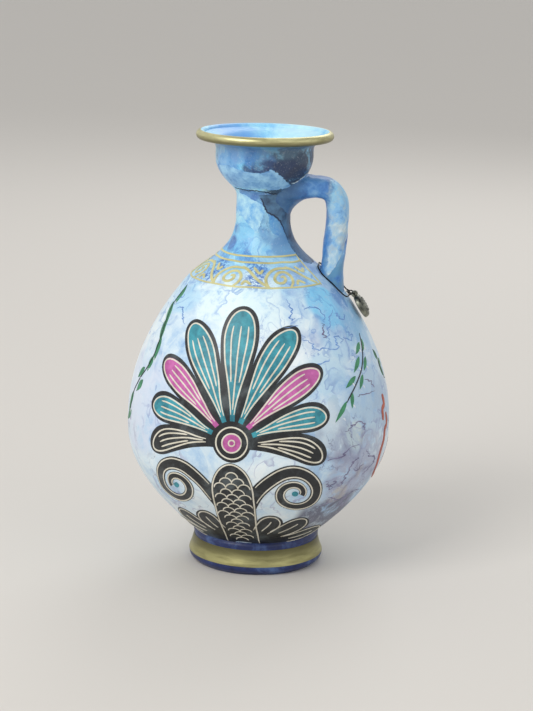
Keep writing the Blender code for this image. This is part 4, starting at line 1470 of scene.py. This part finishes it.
# Bud, and its rows of scales: where they start and how far they go, as shares of its length
BUD_ROOT = -1.4
BUD_LENGTH = 88.0
BUD_HALF_ROOT = 12.0
SCALE_ROWS = 17
SCALE_START = 0.08
SCALE_SPAN = 0.80
SCALE_MARGIN = 1.5
SCALE_STEPS = 12


class Petal(NamedTuple):
    """A petal that grows from a centre, widest near its rounded end."""

    centre: Vector
    angle: float
    root: float
    length: float
    half_root: float
    half_end: float
    droop: float

    def point(self, share, side, grow=0.0):
        """Return the place at a share of the length, from the middle (0) to an edge (1 or -1)."""
        rise = min(share / PETAL_SHOULDER, 1.0)
        half = self.half_root + (self.half_end - self.half_root) * rise * rise * (3 - 2 * rise) + grow
        if share > PETAL_SHOULDER:
            half *= math.sqrt(max(0.0, 1 - ((share - PETAL_SHOULDER) / (1 - PETAL_SHOULDER)) ** 2))
        lean = self.angle + self.droop * share * share
        reach = self.root - grow + (self.length + 2 * grow) * share
        facing = self.angle + PETAL_TWIST * self.droop * share
        spot = self.centre + Vector((math.sin(lean), math.cos(lean))) * reach
        return spot + Vector((math.cos(facing), -math.sin(facing))) * half * side

    def outline(self, grow=0.0, start=0.0):
        """Return the edge, up the left side and down the right."""
        steps = 26
        shares = [start + (1 - start) * math.sin(UPRIGHT * step / steps) for step in range(steps + 1)]
        left = [self.point(share, -1, grow) for share in shares]
        right = [self.point(share, 1, grow) for share in reversed(shares[:-1])]
        return left + right

    def rib(self, side, low, high):
        """Return a line along the petal."""
        steps = 16
        return [self.point(low + (high - low) * step / steps, side) for step in range(steps + 1)]


def fan_petals():
    """Return the palmette's petals with their colours, from the middle outward."""
    petals = []
    for order, colour in enumerate(PETAL_COLOURS):
        for hand in ((1, -1) if order else (1,)):
            angle = hand * order * PETAL_STEP
            reach = math.hypot(math.cos(angle) / FAN_HEIGHT, math.sin(angle) / FAN_HALF_WIDTH) ** -1
            petal = Petal(HEART, angle, PETAL_ROOT, reach - PETAL_ROOT, PETAL_HALF_ROOT,
                          PETAL_FULLNESS * reach * PETAL_STEP, hand * order * PETAL_DROOP)
            petals.append((petal, colour))
    return petals


def base_leaves():
    """Return the black leaves that spread along the foot of the palmette."""
    leaves = []
    for angle, length in BASE_LEAVES:
        for hand in (1, -1):
            leaves.append(Petal(BASE_LEAF_CENTRE, hand * math.radians(angle), BASE_LEAF_ROOT, length,
                                *BASE_LEAF_HALF_WIDTHS, -hand * BASE_LEAF_DROOP))
    return leaves


def scroll_path(hand):
    """Return the middle line of a scroll that rises from the foot and curls outward."""
    steps = 84
    spiral = []
    for step in range(steps + 1):
        share = step / steps
        angle = SCROLL_START - 2 * math.pi * SCROLL_TURNS * share
        reach = SCROLL_RADII[0] + (SCROLL_RADII[1] - SCROLL_RADII[0]) * share
        spiral.append(SCROLL_EYE + heading(angle) * reach)
    stem = smooth_path([(5.0, 30.0), (9.0, 50.0), (18.5, 67.0), spiral[0], spiral[6]], 8)[:-8]
    return [Vector((hand * point.x, point.y)) for point in stem[:-1] + spiral]


def beside_path(path, widths, share):
    """Return a line beside a path, at a share of its half width, which changes from end to end."""
    last = len(path) - 1
    line = []
    for index, along in enumerate(directions(path)):
        half = (widths[0] + (widths[1] - widths[0]) * index / last) / 2
        line.append(path[index] + Vector((-along.y, along.x)) * half * share)
    return line


def circle(centre, radius, steps=28):
    """Return points round a circle."""
    return [centre + heading(angle) * radius for angle in round_angles(steps)]


def palmette(paints):
    """Paint the palmette: a fan of petals over two scrolls, a scaled bud and a spray of leaves."""
    place = by_sheet(PALMETTE_TURN)
    coats = {name: bmesh.new() for name in paints}

    def coat(name, outline, lift):
        fill(coats[name], outline, place, lift)

    def line(path, width=LINE_WIDTH):
        stroke(coats["ivory"], path, width, place, LINE_COAT, tip=0.5, lead=0.06)

    for index, (petal, colour) in enumerate(fan_petals()):
        coat("black", petal.outline(BACKING_MM), UNDER_COAT - COAT_STEP * (index % 3))
        if colour != "black":
            coat(colour, petal.outline(), OVER_COAT)
        line(petal.outline(*PETAL_EDGE))
        for rib in PETAL_RIBS:
            line(petal.rib(*rib))
    for index, leaf in enumerate(base_leaves()):
        coat("black", leaf.outline(BASE_LEAF_BACKING_MM), UNDER_COAT - COAT_STEP * (index // 2))
        line(leaf.outline(*BASE_LEAF_EDGE), THIN_LINE_WIDTH)
        line(leaf.rib(*BASE_LEAF_RIB), THIN_LINE_WIDTH)
    for hand in (1, -1):
        path = scroll_path(hand)
        left, right = [beside_path(path, SCROLL_WIDTHS, side) for side in (1, -1)]
        coat("black", left + right[::-1], UNDER_COAT + COAT_STEP * (2 + hand))
        for side in (1, -1):
            edge = beside_path(path, SCROLL_WIDTHS, side * SCROLL_LINE_SHARE)
            clear = [point for point in edge if abs(point.x) > BUD_HALF_WIDTH + SCROLL_LINE_GAP]
            line(clear, SCROLL_LINE_WIDTH)
        eye = Vector((hand * SCROLL_EYE.x, SCROLL_EYE.y))
        coat("turquoise", circle(eye, SCROLL_EYE_RADIUS), OVER_COAT)
    scaled_bud(coat, line)
    coat("black", circle(HEART, HEART_RADIUS), BUD_COAT)
    coat("pink", circle(HEART, HEART_PINK_RADIUS), OVER_COAT)
    for radius in HEART_LINE_RADII:
        ring = circle(HEART, radius)
        line([*ring, ring[0]])
    for name, bm in coats.items():
        painted("palmette_" + name, bm, paints[name])


def scaled_bud(coat, line):
    """Paint the black bud between the scrolls, with rows of scales."""
    bud = Petal(Vector((0.0, 0.0)), 0.0, BUD_ROOT, BUD_LENGTH, BUD_HALF_ROOT, BUD_HALF_WIDTH, 0.0)
    coat("black", bud.outline(), BUD_COAT)
    line(bud.outline(*BUD_EDGE))
    angles = [math.pi * step / SCALE_STEPS for step in range(SCALE_STEPS + 1)]
    for row in range(SCALE_ROWS):
        share = SCALE_START + SCALE_SPAN * row / (SCALE_ROWS - 1)
        middle = bud.point(share, 0)
        half = (bud.point(share, 1) - middle).length - SCALE_MARGIN
        for column in range(-2, 3):
            across = (2 * column + row % 2) * SCALE_RADIUS
            if abs(across) + SCALE_RADIUS > half:
                continue
            centre = middle + Vector((across, 0.0))
            line([centre + heading(angle) * SCALE_RADIUS for angle in angles], THIN_LINE_WIDTH)


# The whole jug

set_camera()
set_stage()
glaze = marbled_glaze()
inner_glaze = plain_paint("inner_glaze", (170, 230, 248), (104, 184, 236), 0.38, blooms=MOUTH_LIGHT_AND_BLOOMS)
vessel(glaze, inner_glaze)
# The rim's gold darkens towards the bead's underside as painted shade.
rim_gold = gilding("rim_gold", (220, 215, 164), (160, 155, 112), 0.25, 0.80, (0.2980, 0.2953))
gilded_rim(rim_gold, inner_glaze)
# The foot's gold is lighter at its lower edge as a painted reflection, and darker towards the top as painted
# shade.
foot_gold = gilding("foot_gold", (174, 169, 118), (136, 131, 88), 0.10, 0.72, (0.0085, 0.0172))
painted_foot(cobalt_paint(), foot_gold)
strap_handle(handle_glaze())
wire_loop(plain_metal("dark_steel", (44, 42, 40), (26, 24, 23), 0.42))
# The slate film by the handle is partly painted shade.
torn_films(plain_paint("pale_film", (162, 212, 246), (94, 150, 208)),
           plain_paint("cyan_film", (186, 230, 247), (98, 170, 230)),
           plain_paint("slate_film_and_shade", (86, 128, 164), (44, 66, 96)),
           plain_paint("film_ink", (44, 62, 92), (30, 40, 62)),
           plain_paint("chalk", (214, 232, 240), (150, 184, 206)))
glaze_veins(plain_paint("vein_blue", (128, 168, 222), (84, 124, 190)),
            plain_paint("vein_violet", (140, 136, 168), (90, 86, 120)))
gold_band(gilding("band_gold", (226, 220, 162), (198, 190, 134), 0.15, 0.30))
olive_branches(plain_paint("leaf_green", (70, 148, 106), (38, 108, 74)),
               plain_paint("stem_black", (40, 44, 50), (24, 28, 34)),
               plain_paint("dab_white", (240, 243, 248), (216, 224, 236)))
handle_scrolls(plain_paint("terracotta", (190, 88, 62), (146, 62, 44)))
palmette({
    "black": plain_paint("black_paint", (34, 38, 42), (20, 22, 26), 0.42, scuff=(98, 108, 112)),
    "turquoise": plain_paint("turquoise_paint", (64, 160, 176), (30, 106, 124)),
    "pink": plain_paint("pink_paint", (206, 108, 178), (166, 74, 140)),
    "ivory": plain_paint("ivory_line", (232, 228, 214), (206, 200, 182)),
})
seal_medal(plain_metal("pewter", (148, 150, 136), (44, 48, 48), 0.30))
